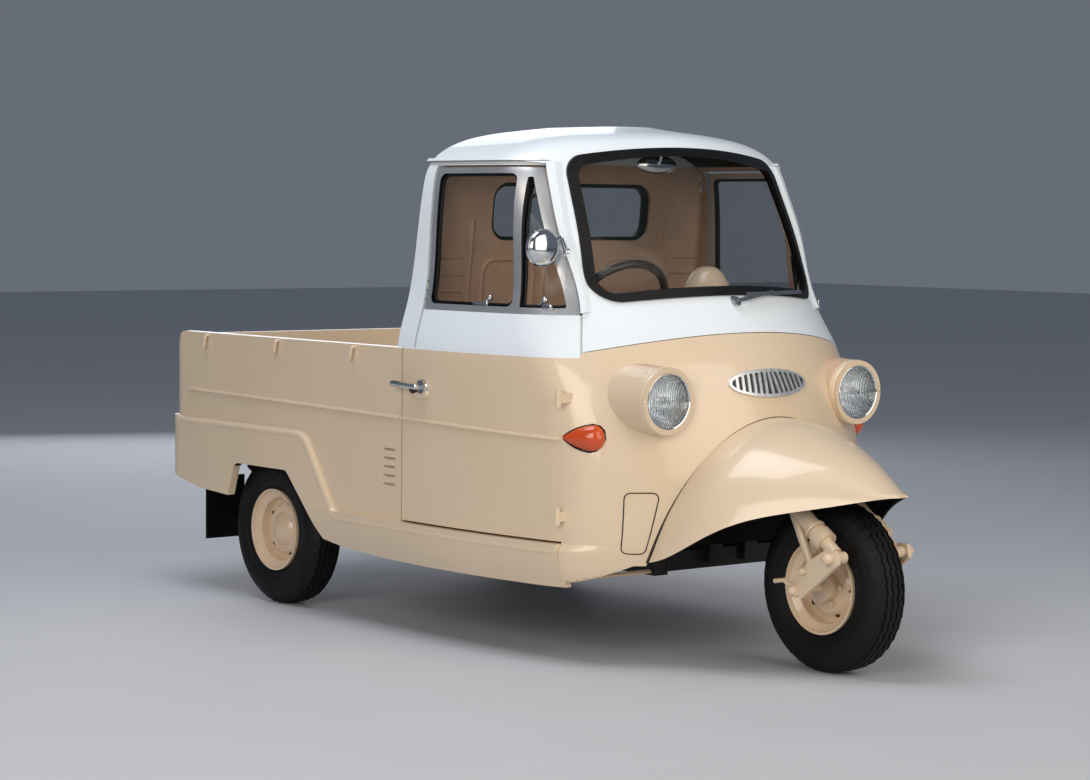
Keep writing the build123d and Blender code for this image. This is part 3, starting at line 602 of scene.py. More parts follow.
def faces_away(centre, normal):
    """Whether a face looks out of the cab, into the wheel well or at the road."""
    beside_the_seat = abs(normal.y) > 0.7 and abs(centre.y) > 0.4
    return not (beside_the_seat or faces_cabin(centre, normal))


def faces_wheel(centre, normal):
    """Whether a face of the fender looks at the front wheel."""
    return normal.dot(spot(1980, 0, 200) - centre) > 0


def faces_under(centre, normal):
    """Whether a face of a body side looks inwards below the load floor, or down."""
    return centre.z < 0.575 and (normal.y * centre.y < -0.05 * abs(centre.y) or normal.z < -0.7)


def faces_pane(centre, normal):
    """Whether a face of a window frame is in its glazing channel or on its shut edge."""
    return abs(normal.y) < 0.3


def faces_down(centre, normal):
    """Whether a face looks down."""
    return normal.z < -0.2


class TRUCK_OT_finishes(bpy.types.Operator):
    """Paint, glass, rubber and metal for every piece of the frame"""

    bl_idname = "truck.finishes"
    bl_label = "Finishes"

    def execute(self, context):
        make_finishes()
        for part in frame["record"]["subparts"]:
            assign(part["node"], part["material_slot"])
        for side in SIDES:
            assign("door_" + side, "door_paint")
            assign_inside("door_" + side, "tan_trim", faces_cabin)
            assign_inside("window_frame_" + side, "black_rubber", faces_pane)
            # Bitumen, and painted shade, on the inner faces below the load floor.
            assign_inside("side_panel_" + side, "underseal", faces_under)
        assign_inside("cab_shell", "tan_trim", faces_cabin)
        assign_inside("nose_panel", "tan_trim", faces_cabin)
        # The roof's underside is painted near black for the shade inside the cab.
        assign_inside("roof", "headliner", faces_down)
        # Bitumen, and painted shade, where the fender, floor and bed face the wheel or the road.
        assign_inside("front_fender", "underseal", faces_wheel)
        assign_inside("floor_and_firewall", "underseal", faces_away)
        assign_inside("bed_floor", "underseal", faces_down)
        assign("grille", "grille_metal")
        return {"FINISHED"}


# ---------------------------------------------------------------- tyres and wheels
WHEEL_PLACES = {
    # name: tyre node, body, centre, side of the disc
    "front": ("front_tyre", "front_wheel", spot(WHEELBASE, 0, WHEEL_Z), -1),
    "rear_right": ("rear_tyre_right", "rear_right_wheel", spot(0, -REAR_TRACK / 2, WHEEL_Z), -1),
    "rear_left": ("rear_tyre_left", "rear_left_wheel", spot(0, REAR_TRACK / 2, WHEEL_Z), 1),
}
GROOVES = (11, 32)              # distance of the tread's grooves from its middle, in millimetres
ZIGZAG = 3.2                    # how far the ribs swing


def tread_half(depth):
    """Half of a tyre's section from the middle of the tread to the bead, as (radius, across)."""
    half = [(242.5, 0)]
    for groove, top in zip(GROOVES, (242.3, 240.5)):
        half += [(top, groove - 3.4), (top - depth, groove - 2.2)]
        half += [(top - depth, groove + 2.2), (top, groove + 3.4)]
    shoulder = [(237, 41), (231.5, 47.6), (226, 52), (217, 57.5)]
    wall = [(204, 62.6), (201, 62.4), (199, 63.4), (192, 64.3), (181, 63.6)]
    bead_ring = [(168, 60.6), (166, 61.2), (160, 59.4), (158, 57), (151, 55), (140, 51), (133, 46)]
    return half + shoulder + wall + bead_ring


class TRUCK_OT_tyres(bpy.types.Operator):
    """Cross-ply tyres with ribbed zigzag tread and ringed sidewalls"""

    bl_idname = "truck.tyres"
    bl_label = "Tyres"

    def execute(self, context):
        sizes = context.scene.truck_sizes
        half = tread_half(sizes.tread_depth / MM)
        section = [(r, -a) for r, a in reversed(half)] + half[1:] + [(129, 42), (129, -42)]
        centre = WHEEL_PLACES["rear_right"][2]
        steps = sizes.tread_steps
        tyre = turned("tyre", section, centre, (0, 1, 0), steps)
        self.swing(tyre, centre, steps)
        self.cut_shoulder(tyre, centre, steps)
        made = {"rear_right": tyre}
        for name, (node, body, place, side) in WHEEL_PLACES.items():
            if name not in made:
                made[name] = copied(tyre, "tyre_" + name, Matrix.Translation(place - centre))
        for name, piece in made.items():
            node, body = WHEEL_PLACES[name][:2]
            piece.name = "tyre_" + name
            dress(piece, "tyre_rubber", body, angle=28)
            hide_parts(node)
        return {"FINISHED"}

    def place_round(self, out, steps):
        """A corner's step round the tyre, counted in fours, and its distance from the axle."""
        turn = round(math.atan2(out.z, out.x) / (2 * math.pi) * steps) % 4
        return turn, math.hypot(out.x, out.z)

    def swing(self, tyre, centre, steps):
        """Swing the tread's ribs from side to side."""
        for phase, way in ((1, 1), (3, -1)):

            def on_rib(place):
                turn, radius = self.place_round(place - centre, steps)
                return turn == phase and radius > 233 * MM and abs(place.y - centre.y) < 38 * MM

            pick(tyre, on_rib)
            bpy.ops.transform.translate(value=(0, way * ZIGZAG * MM, 0))
            done()

    def cut_shoulder(self, tyre, centre, steps):
        """Pull in a slot across the shoulder at every fourth step."""

        def on_shoulder(place):
            turn, radius = self.place_round(place - centre, steps)
            return turn == 0 and 229 * MM < radius < 239 * MM and 40 * MM < abs(place.y - centre.y) < 49 * MM

        pick(tyre, on_shoulder)
        share = 1 - 3.5 / 235
        bpy.ops.transform.resize(value=(share, 1, share), center_override=centre)
        done()


class TRUCK_OT_wheel_fittings(bpy.types.Operator):
    """Hub caps, wheel nuts, dark discs of painted shade in the cooling holes, and tyre valves"""

    bl_idname = "truck.wheel_fittings"
    bl_label = "Wheel fittings"

    def execute(self, context):
        for name, (node, body, centre, side) in WHEEL_PLACES.items():
            self.fit(name, body, centre, side)
        return {"FINISHED"}

    def fit(self, name, body, centre, side):
        out = Vector((0, side, 0))
        if name != "front":
            dome = [(0, 42), (16, 41), (32, 37.5), (44, 31), (53, 23), (58, 16), (61, 15), (62, 11), (0, 11)]
            dress(turned("hub_cap_" + name, dome, centre, out, 40, closed=False), "wheel_paint", body)
        nuts, holes = [], []
        for i in range(5):
            around = Matrix.Rotation(2 * math.pi * (i + 0.2) / 5, 4, "Y")
            holes.append(self.disc(centre + around @ Vector((0, 0, 83 * MM)) + out * 10 * MM, 7.5, 7))
            if name == "front":
                place = centre + around @ Vector((0, 0, 52 * MM)) + out * 21 * MM
                nuts.append(self.disc(place, 8.5, 12, 6))
        if nuts:
            dress(joined("wheel_nuts_" + name, nuts), "wheel_paint", body)
        # Painted shade: dark discs stand for the shade seen through the cooling holes.
        dress(joined("wheel_hole_shade_" + name, holes), "seam", body)
        foot = centre + Vector((0.107, 0, 0)) + out * 8 * MM
        stem = tube("valve_" + name, [foot, foot + out * 16 * MM, foot + out * 34 * MM], 3.6 * MM, 3)
        dress(stem, "black_rubber", body)

    def disc(self, place, radius, thickness, corners=20):
        """A small round or six-sided plate across the wheel, in millimetres."""
        plate = fresh(bpy.ops.mesh.primitive_cylinder_add, vertices=corners, radius=radius * MM,
                      depth=thickness * MM, location=place, rotation=(math.pi / 2, 0, 0))
        return apply(settle(plate, "disc"), "BEVEL", width=1 * MM, segments=2)


# ---------------------------------------------------------------- lamps
class TRUCK_OT_headlamps(bpy.types.Operator):
    """Plated headlamp rims with their screws, and the bulbs behind the glass"""

    bl_idname = "truck.headlamps"
    bl_label = "Headlamps"

    def execute(self, context):
        centre = spot(1700, -375, 760)
        lip = [(80, 3), (81, 10), (84, 14), (88.5, 15), (93, 12.5), (96, 7), (97, 0), (96.6, -9), (95.4, -16),
               (80, -16)]
        ring = turned("headlamp_lip_right", lip, centre, (1, 0, 0), 72)
        profile = [(75.5, 11), (76.5, 14.5), (79, 15.5), (81.5, 14), (82, 8), (75.5, 7)]
        rim = turned("headlamp_rim_right", profile, centre, (1, 0, 0), 72)
        rims = [rim]
        for y in (-89, 89):
            rims.append(ball("screw", centre + Vector((15, y, 0)) * MM, 3.2 * MM, (0.6, 1, 1)))
        rim = joined("headlamp_rim_right", rims)
        neck = [(0, 0), (9, -1), (11, -10), (9, -18), (14, -22), (14, -30), (0, -30)]
        seat = centre + Vector((6 * MM, 0, 0))
        bulb = turned("headlamp_bulb_right", neck, seat, (1, 0, 0), 24, closed=False)
        for piece, coat in ((ring, "cream_paint"), (rim, "bright_chrome"), (bulb, "bright_chrome")):
            dress_both(piece, coat, "cab_and_bed")
        return {"FINISHED"}


class TRUCK_OT_small_lamps(bpy.types.Operator):
    """Gaskets of the turn signals and plated rims of the tail lamps"""

    bl_idname = "truck.small_lamps"
    bl_label = "Small lamps"

    def execute(self, context):
        centre = spot(-553, -455, 500)
        profile = [(37, -9), (41, -9.5), (44, -7), (45, 0), (45, 7.5), (37, 7.5)]
        rim = turned("tail_lamp_rim_right", profile, centre, (1, 0, 0), 48)
        dress_both(rim, "bright_chrome", "cab_and_bed")
        self.gasket()
        return {"FINISHED"}

    def gasket(self):
        """Rubber under the teardrop of each turn signal, drawn as (along the nose, height)."""
        outline = [(-72, 4), (-54, 15), (-32, 26), (-8, 34), (14, 38.5), (32, 34), (44, 22), (50, 0)]
        outline += [(t, -h) for t, h in reversed(outline[:-1])]
        turn = math.radians(38)
        points = [spot(1545 + t * math.cos(turn), -OUTSIDE, 652 + h) for t, h in outline]
        seal = bead("signal_gasket_right", "nose_panel", "+y", points + [points[0]], 3 * MM, 2)
        dress_both(seal, "black_rubber", "cab_and_bed")


# ---------------------------------------------------------------- body lines
def ellipse_arc(reach, rise, middle, x, first, last, steps=28):
    """Points of an upright elliptical arc across the vehicle, from one angle to another."""
    angles = [math.radians(first + (last - first) * i / steps) for i in range(steps + 1)]
    return [spot(x, reach * math.cos(a), middle + rise * math.sin(a)) for a in angles]


class TRUCK_OT_body_lines(bpy.types.Operator):
    """Pressed lines along the body side, hatch outline, fender seam and floor ribs"""

    bl_idname = "truck.body_lines"
    bl_label = "Body lines"

    def execute(self, context):
        sizes = context.scene.truck_sizes
        self.side_beads(sizes.bead)
        self.hatch(sizes.seam)
        self.fender_seam(sizes.seam)
        self.floor_ribs()
        return {"FINISHED"}

    def side_beads(self, radius):
        """The line along the bed side, and where it carries on over the door."""
        points = [spot(-426, -660, 682), spot(785, -660, 663)]
        bed = bead("bed_line_right", "side_panel_right", "+y", points, radius, 12)
        points = [spot(797, -660, 664), spot(1478, -660, 645)]
        door = bead("door_line_right", "door_right", "+y", points, radius, 12)
        dress_both(bed, "cream_paint", "cab_and_bed")
        dress_both(door, "cream_paint", "right_door")

    def hatch(self, radius):
        """The shut line of the access hatch beside the front wheel."""
        corners = [(-466, 328), (-462, 500), (-377, 500), (-410, 326)]
        loop = rounded_loop(corners, 16)
        points = [spot(1850, y, z) for y, z in loop]
        line = bead("hatch_line", "nose_panel", "-x", points + [points[0]], radius, 2)
        dress(line, "seam", "cab_and_bed")

    def fender_seam(self, radius):
        """The seam where the front fender meets the nose."""
        # The arch on the nose: half width, foot height, crown height and fullness of its ellipse.
        half, foot, crown, fullness = 403, 301, 704, 1.035
        angle = math.degrees(math.acos(1 / fullness))
        rise = (crown - foot) / (1 - math.sin(math.radians(angle)))
        points = ellipse_arc(half * fullness, rise, crown - rise, 1850, angle, 180 - angle, 60)
        line = bead("fender_seam", "nose_panel", "-x", points, radius, 1)
        dress(line, "seam", "cab_and_bed")

    def floor_ribs(self):
        """Seven flat ribs pressed along the bed floor."""
        ribs = []
        for y in range(-420, 421, 140):
            ribs.append(box_piece("rib", spot(120, y, 592.5), (1.12, 0.046, 0.005), 2.2 * MM, 2))
        dress(joined("bed_floor_ribs", ribs), "cream_paint", "cab_and_bed")


class TRUCK_OT_sill_end(bpy.types.Operator):
    """Where each sill and shoulder dies away into the nose panel"""

    bl_idname = "truck.sill_end"
    bl_label = "Sill end"

    def execute(self, context):
        patch = fresh(bpy.ops.mesh.primitive_grid_add, x_subdivisions=26, y_subdivisions=20, size=1)
        low, high = spot(1488, -OUTSIDE, 226), spot(1640, -OUTSIDE, 350)
        patch.location = (low + high) / 2
        patch.rotation_euler = (math.pi / 2, 0, 0)
        patch.scale = (high.x - low.x, high.z - low.z, 1)
        settle(patch, "sill_end_right")
        lay_on(patch, "nose_panel", "+y")
        # What missed the panel is still out beside the body.
        pick(patch, lambda place: place.y < -0.66)
        bpy.ops.mesh.delete(type="VERT")
        done()
        for vertex in patch.data.vertices:
            along = (vertex.co.x - low.x) / (high.x - low.x)
            upper = min(1, (high.z - vertex.co.z) / (16 * MM))
            fade = 1 - along * along * (3 - 2 * along)
            vertex.co.y -= (14 * fade * upper + 0.3) * MM
        apply(patch, "SOLIDIFY", thickness=10 * MM, offset=-1)
        close_up(patch)
        dress_both(patch, "cream_paint", "cab_and_bed")
        return {"FINISHED"}


class TRUCK_OT_shoulder(bpy.types.Operator):
    """Soft rounded shoulder of the rear fender and sill"""

    bl_idname = "truck.shoulder"
    bl_label = "Shoulder"

    def execute(self, context):
        corners = [(-700, 573), (268, 573), (441, 328), (1500, 328), (1500, 100), (-700, 100)]
        loop = rounded_loop(corners, 70, 8)
        path = [Vector((x, 573)) for x in (-490, -300, -100, 80)]
        path += [p for p in loop if 200 < p.x < 560 and p.y > 327.9]
        path += [Vector((x, 328)) for x in (560, 700, 850, 1000, 1150, 1300, 1400, 1484)]
        roll = draw_line("shoulder_right", [spot(x, -OUTSIDE, z) for x, z in path])
        subdivide(roll, 2)
        lay_on(roll, "side_panel_right", "+y")
        roll.data.transform(Matrix.Translation((0, 13.2 * MM, 0)))
        roll = thicken_line(roll, 15 * MM, 5)
        dress_both(roll, "cream_paint", "cab_and_bed")
        return {"FINISHED"}


class TRUCK_OT_grille_back(bpy.types.Operator):
    """Dark sheet behind the grille's slats: painted shade for the opening behind them"""

    bl_idname = "truck.grille_back"
    bl_label = "Grille back"

    def execute(self, context):
        sheet = fresh(bpy.ops.mesh.primitive_circle_add, vertices=64, radius=1, fill_type="TRIFAN")
        sheet.rotation_euler = (0, math.pi / 2, 0)
        settle(sheet, "grille_back")
        sheet.scale = (1, 0.1435, 0.0335)
        sheet.location = spot(1800, 0, 802)
        settle(sheet)
        subdivide(sheet, 5)
        lay_on(sheet, "nose_panel", "-x")
        sheet.data.transform(Matrix.Translation((0.0012, 0, 0)))
        apply(sheet, "SOLIDIFY", thickness=3 * MM, offset=0)
        close_up(sheet)
        # Painted shade: the dark sheet stands for the shadowed opening behind the slats.
        dress(sheet, "grille_back", "cab_and_bed")
        return {"FINISHED"}


class TRUCK_OT_bed_fittings(bpy.types.Operator):
    """Rope hooks, rolled top edges and inner ribs of the load bed"""

    bl_idname = "truck.bed_fittings"
    bl_label = "Bed fittings"

    def execute(self, context):
        hooks, ribs = [], []
        shape = ((2, -626, 868), (2, -636, 868), (0, -643, 864), (-3, -643.5, 846), (-8, -643, 828),
                 (-12, -639, 824))
        for along in HOOK_X:
            hooks.append(tube("hook", [spot(along + x, y, z) for x, y, z in shape], 5.2 * MM, 3, True))
        for x in (-330, -60, 210, 480):
            ribs.append(box_piece("rib", spot(x, -587.5, 730), (0.05, 0.007, 0.24), 3 * MM))
        roll = tube("roll", [spot(-500, -590, 869), spot(760, -590, 869)], 6 * MM, 4)
        groups = (("rope_hooks_right", hooks), ("bed_ribs_right", ribs), ("bed_edge_right", [roll]))
        for name, pieces in groups:
            dress_both(joined(name, pieces), "cream_paint", "cab_and_bed")
        return {"FINISHED"}


class TRUCK_OT_window_seals(bpy.types.Operator):
    """Black glazing strips round the window panes"""

    bl_idname = "truck.window_seals"
    bl_label = "Window seals"

    def execute(self, context):
        sliding_pane = ((884, 1016), (1244, 1016), (1209, 1394), (891, 1394))
        quarter_pane = ((1283, 1016), (1397, 1016), (1246, 1380))
        for side, sign in SIDES.items():
            strips = []
            axis = "+y" if sign < 0 else "-y"
            for corners, radius in ((sliding_pane, 26), (quarter_pane, 8)):
                loop = [spot(x, OUTSIDE * sign, z) for x, z in rounded_loop(corners, radius)]
                strips.append(bead("seal", "window_glass_" + side, axis, loop + [loop[0]], 5 * MM, 3, 2))
            dress(joined("window_seals_" + side, strips), "black_rubber", side + "_door")
        return {"FINISHED"}


class TRUCK_OT_front_suspension(bpy.types.Operator):
    """Collars of the struts, caps of the link pins and the brake arm"""

    bl_idname = "truck.front_suspension"
    bl_label = "Front suspension"

    def execute(self, context):
        pieces = []
        foot, top = spot(2130, -112, 345), spot(1872, -112, 531)
        lean = (top - foot).normalized()
        for distance, radius, height in ((0.098, 29, 12), (0.112, 31.5, 9), (0.123, 28, 7)):
            ring = [(radius - 6, 0), (radius - 1, 0), (radius, 2), (radius, height - 2), (radius - 1, height),
                    (radius - 6, height)]
            pieces.append(turned("collar", ring, foot + lean * distance, lean, 28))
        pins = ((spot(2130, -160, 345), 16), (spot(1997, -159, 243), 14), (spot(2030, -152, 300), 11))
        for place, radius in pins:
            cap = [(0, 14), (radius * 0.55, 13), (radius * 0.9, 9), (radius, 4), (radius, -6), (0, -6)]
            pieces.append(turned("cap", cap, place, (0, -1, 0), 20, closed=False))
        arm = [spot(1997, -150, 243), spot(1960, -156, 268), spot(1925, -158, 262)]
        pieces.append(tube("brake_arm", arm, 7 * MM, 3))
        dress_both(joined("fork_fittings_right", pieces), "wheel_paint", "front_fork")
        return {"FINISHED"}


# ---------------------------------------------------------------- hardware on the doors and the bed
class TRUCK_OT_door_hardware(bpy.types.Operator):
    """Grips, cups and plates of the door handles, and the window catches"""

    bl_idname = "truck.door_hardware"
    bl_label = "Door hardware"

    def execute(self, context):
        for side, sign in SIDES.items():
            body = side + "_door"
            self.handle(side, sign, body)
            self.catches(side, sign, body)
        return {"FINISHED"}

    def handle(self, side, sign, body):
        """The finger cup, a dark egg of painted shade in its hollow, a black grip painted as the dark
        reflection along the plated lever, and the plate under the lever.
        """
        y = BODY_SIDE * sign
        cup = ball("handle_cup_" + side, spot(884, y, 742), 30 * MM, (1.45, 0.3, 0.6))
        dress(cup, "cream_paint", body)
        # Painted shade: a dark egg put where the cup's hollow lies in shadow.
        hollow = ball("handle_cup_shade_" + side, spot(866, y + 4 * sign, 752), 22 * MM, (1.5, 0.25, 0.6))
        dress(hollow, "seam", body)
        out = y + 33 * sign
        reach = [spot(786, out, 769.2), spot(812, out, 768.3), spot(828, out, 767.6)]
        # Painted reflection: the black grip stands for the dark reflection that the plated lever shows at its
        # rear end.
        grip = tube("handle_grip_" + side, reach, 8.9 * MM, 4)
        dress(grip, "black_plastic", body)
        collar = [(8, -2), (21.5, -2), (22, 1), (20, 3), (8, 5)]
        plate = turned("handle_plate_" + side, collar, spot(900, y + 2 * sign, 764), (0, sign, 0), 32)
        dress(plate, "bright_chrome", body)

    def catches(self, side, sign, body):
        """A catch inside each pane: its base, lever and knob."""
        pieces = []
        for x0, x1, knob, depth in ((1065, 1138, 1147, 572), (1345, 1385, 1355, 535)):
            y = depth * sign
            size = ((x1 - x0) * MM, 0.012, 0.016)
            pieces.append(box_piece("base", spot((x0 + x1) / 2, y, 1016), size, 3 * MM))
            pieces.append(tube("lever", [spot(knob - 26, y, 1020), spot(knob, y, 1036)], 4 * MM, 3))
            pieces.append(ball("knob", spot(knob, y, 1036), 9 * MM))
        dress(joined("window_catches_" + side, pieces), "bright_chrome", body)


class TRUCK_OT_door_cards(bpy.types.Operator):
    """Pressed inner panels of the doors with their pulls and window winders"""

    bl_idname = "truck.door_cards"
    bl_label = "Door cards"

    def execute(self, context):
        corners = [(840, 395), (840, 815), (1430, 815), (1430, 395)]
        loop = [spot(x, -450, z) for x, z in rounded_loop(corners, 70)]
        card = bead("door_card_right", "door_right", "-y", loop + [loop[0]], 6 * MM, 6, 3)
        path = [spot(900, -590, 760), spot(900, -566, 756), spot(985, -566, 756), spot(985, -590, 760)]
        pull = tube("pull", path, 6 * MM, 3)
        boss = [(0, 12), (13, 11), (17, 7), (19, 0), (19, -8), (0, -8)]
        winder = turned("winder", boss, spot(1180, -584, 700), (0, 1, 0), 28, closed=False)
        arm = tube("arm", [spot(1180, -570, 700), spot(1180, -566, 640)], 5 * MM, 3)
        knob = ball("knob", spot(1180, -556, 640), 11 * MM)
        metal = joined("door_controls_right", [pull, winder, arm, knob])
        dress_both(card, "tan_trim", "right_door")
        dress_both(metal, "bright_chrome", "right_door")
        return {"FINISHED"}


class TRUCK_OT_gate_hardware(bpy.types.Operator):
    """Latches and pressed lines of the drop gate"""

    bl_idname = "truck.gate_hardware"
    bl_label = "Gate hardware"

    def execute(self, context):
        latches, lines = [], []
        for sign in (-1, 1):
            y = 505 * sign
            latches.append(box_piece("plate", spot(-547.5, y, 826), (0.006, 0.05, 0.044), 2 * MM))
            latches.append(tube("bolt", [spot(-552, y - 30, 826), spot(-552, y + 30, 826)], 5 * MM, 3))
            path = [spot(-552, y, 826), spot(-558, y, 818), spot(-558, y, 796)]
            latches.append(tube("grip", path, 4 * MM, 3))
        for z in (690, 762):
            lines.append(tube("line", [spot(-540, -440, z), spot(-540, 440, z)], 7 * MM, 3))
        dress(joined("gate_latches", latches), "wiper_steel", "drop_gate")
        dress(joined("gate_lines", lines), "cream_paint", "drop_gate")
        return {"FINISHED"}


# ---------------------------------------------------------------- inside the cab
class TRUCK_OT_back_wall(bpy.types.Operator):
    """Pressed panels, ribs and grooves on the inside of the cab's back wall"""

    bl_idname = "truck.back_wall"
    bl_label = "Back wall"

    def execute(self, context):
        x = 960                 # ahead of the wall, from where the drawings are pressed back onto it
        lines = []
        for z in (1145, 1094, 1044):
            for sign in (-1, 1):
                shape = ((540, z), (420, z), (412, z - 6), (410, z - 22))
                points = [spot(x, y * sign, height) for y, height in shape]
                lines.append(bead("groove", "cab_shell", "-x", points, 5 * MM, 3))
        for sign in (-1, 1):
            rib = [spot(x, 392 * sign, 1262), spot(x, 392 * sign, 999)]
            lines.append(bead("rib", "cab_shell", "-x", rib, 8 * MM, 8, 3))
        for middle in (-240, 0, 240):
            near, far = middle - 100, middle + 100
            corners = [(near, 960), (near, 1140), (far, 1140), (far, 960)]
            loop = [spot(x, y, z) for y, z in rounded_loop(corners, 45)]
            lines.append(bead("panel", "cab_shell", "-x", loop + [loop[0]], 7 * MM, 2, 3))
        dress(joined("back_wall_pressings", lines), "tan_trim", "cab_and_bed")
        return {"FINISHED"}


class TRUCK_OT_cab_fittings(bpy.types.Operator):
    """Hand wheel rim, inside mirror, gear lever, pedals, instrument housing and dial"""

    bl_idname = "truck.cab_fittings"
    bl_label = "Cab fittings"

    def execute(self, context):
        self.hand_wheel()
        self.inside_mirror()
        self.controls()
        self.dial()
        return {"FINISHED"}

    def hand_wheel(self):
        """The thick rim and the horn button."""
        axis = Vector((-0.82, 0, 0.572)).normalized()
        centre = spot(1325, -258, 988)
        reach, thickness = 183, 12.2
        turns = [math.radians(a) for a in range(0, 360, 24)]
        ring = [(reach + thickness * math.cos(a), thickness * math.sin(a)) for a in turns]
        rim = turned("hand_wheel_rim", ring, centre, axis, 96)
        cap = [(0, 36), (12, 35), (22, 31), (27.5, 26), (29, 20), (29, 8), (0, 8)]
        horn = turned("hand_wheel_cap", cap, centre, axis, 36, closed=False)
        dress(rim, "black_plastic", "hand_wheel")
        dress(horn, "black_plastic", "hand_wheel")

    def dial(self):
        """The domed instrument housing with a plain round dial that faces the driver."""
        centre, axis = spot(1342, 45, 1056), Vector((-0.86, 0, 0.5)).normalized()
        face = turned("dial_face", [(0, 4), (33, 4), (33, -10), (0, -10)], centre, axis, 40, closed=False)
        ring = [(32, 2), (33, 6), (36, 7), (39, 4), (39, -12), (32, -12)]
        bezel = turned("dial_bezel", ring, centre, axis, 40)
        hood = [(85, 1), (82, 14), (74, 40), (62, 68), (46, 94), (30, 108), (14, 113), (0, 114), (0, 1)]
        housing = turned("instrument_housing", hood, spot(1405, 45, 1016), (0, 0, 1), 56, closed=False)
        dress(housing, "cream_paint", "cab_and_bed")
        dress(face, "black_plastic", "cab_and_bed")
        dress(bezel, "bright_chrome", "cab_and_bed")

    def inside_mirror(self):
        """An oval mirror on a short stalk from the roof."""
        centre = spot(1200, 20, 1432)
        glass = ball("inside_mirror", centre, 80 * MM, (0.14, 1, 0.36))
        path = [centre + Vector((8 * MM, 0, 0)), spot(1216, 20, 1452), spot(1222, 20, 1470)]
        stalk = tube("inside_mirror_stalk", path, 5 * MM, 3)
        dress(joined("inside_mirror", [glass, stalk]), "bright_chrome", "cab_and_bed")

    def controls(self):
        """Three pedals and the gear lever with its knob."""
        pads, stalks = [], []
        for y in (-390, -290, -180):
            pads.append(box_piece("pad", spot(1452, y, 452), (0.012, 0.055, 0.062), 4 * MM))
            path = [spot(1458, y, 450), spot(1490, y, 400), spot(1500, y, 342)]
            stalks.append(tube("stalk", path, 6 * MM, 3))
        path = [spot(1260, 20, 342), spot(1250, 14, 560), spot(1215, 8, 700)]
        lever = tube("gear_lever", path, 7 * MM, 3, True)
        knob = ball("gear_knob", spot(1214, 8, 706), 21 * MM)
        dress(joined("pedal_pads", pads), "black_rubber", "cab_and_bed")
        dress(joined("control_rods", stalks + [lever]), "chassis_black", "cab_and_bed")
        dress(knob, "black_plastic", "cab_and_bed")


# ---------------------------------------------------------------- bench
SWELL_STEPS = 15                # frames of the cloth simulation, after which the pads are firm


class TRUCK_OT_bench(bpy.types.Operator):
    """Padded bench: cushion and back in leathercloth"""

    bl_idname = "truck.bench"
    bl_label = "Bench"

    def execute(self, context):
        self.pad("bench_cushion", "seat_cushion", 26 * MM)
        self.pad("bench_back", "seat_back", 16 * MM)
        return {"FINISHED"}

    def pad(self, name, node, rise):
        """A block a little smaller than the frame's, swollen by cloth pressure up to a given rise."""
        low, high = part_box(node)
        centre, size = (low + high) / 2, high - low
        shrink = Vector((12, 14, 12)) * MM
        bpy.context.scene.frame_set(1)
        pad = box_piece(name, centre, size - shrink, 20 * MM, 4)
        apply(pad, "REMESH", mode="VOXEL", voxel_size=7 * MM)
        self.swell(pad, rise)
        apply(pad, "SUBSURF", levels=1, render_levels=1)
        dress(pad, "red_vinyl", "cab_and_bed")
        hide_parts(node)

    def swell(self, pad, cap):
        """Blow the block up as cloth, and hold back every corner that moved past the cap."""
        before = [vertex.co.copy() for vertex in pad.data.vertices]
        focus(pad)
        cloth = pad.modifiers.new("cloth", "CLOTH")
        cloth.settings.use_pressure = True
        cloth.settings.uniform_pressure_force = 2.0
        cloth.settings.effector_weights.gravity = 0
        cloth.point_cache.frame_start = 1
        cloth.point_cache.frame_end = 20
        for step in range(1, SWELL_STEPS + 1):
            bpy.context.scene.frame_set(step)
        bpy.ops.object.modifier_apply(modifier="cloth")
        bpy.context.scene.frame_set(1)
        for vertex, start in zip(pad.data.vertices, before):
            move = vertex.co - start
            if move.length > cap:
                vertex.co = start + move.normalized() * cap


# ---------------------------------------------------------------- stage
TARGET = spot(695.62, 0, 720.35)
CAMERA = {"azimuth": 51.12, "elevation": 3.84, "roll": 0.55, "distance": 8.44662}


def camera_matrix():
    """Place and turn of the camera from its angles round the truck."""
    azimuth, elevation, roll = (math.radians(CAMERA[k]) for k in ("azimuth", "elevation", "roll"))
    level = math.cos(elevation)
    back = Vector((math.sin(azimuth) * level, -math.cos(azimuth) * level, math.sin(elevation)))
    right = Vector((math.cos(azimuth), math.sin(azimuth), 0))
    up = back.cross(right)
    across = right * math.cos(roll) + up * math.sin(roll)
    upright = up * math.cos(roll) - right * math.sin(roll)
    turn = Matrix((across, upright, back)).transposed().to_4x4()
    return Matrix.Translation(TARGET + back * CAMERA["distance"]) @ turn


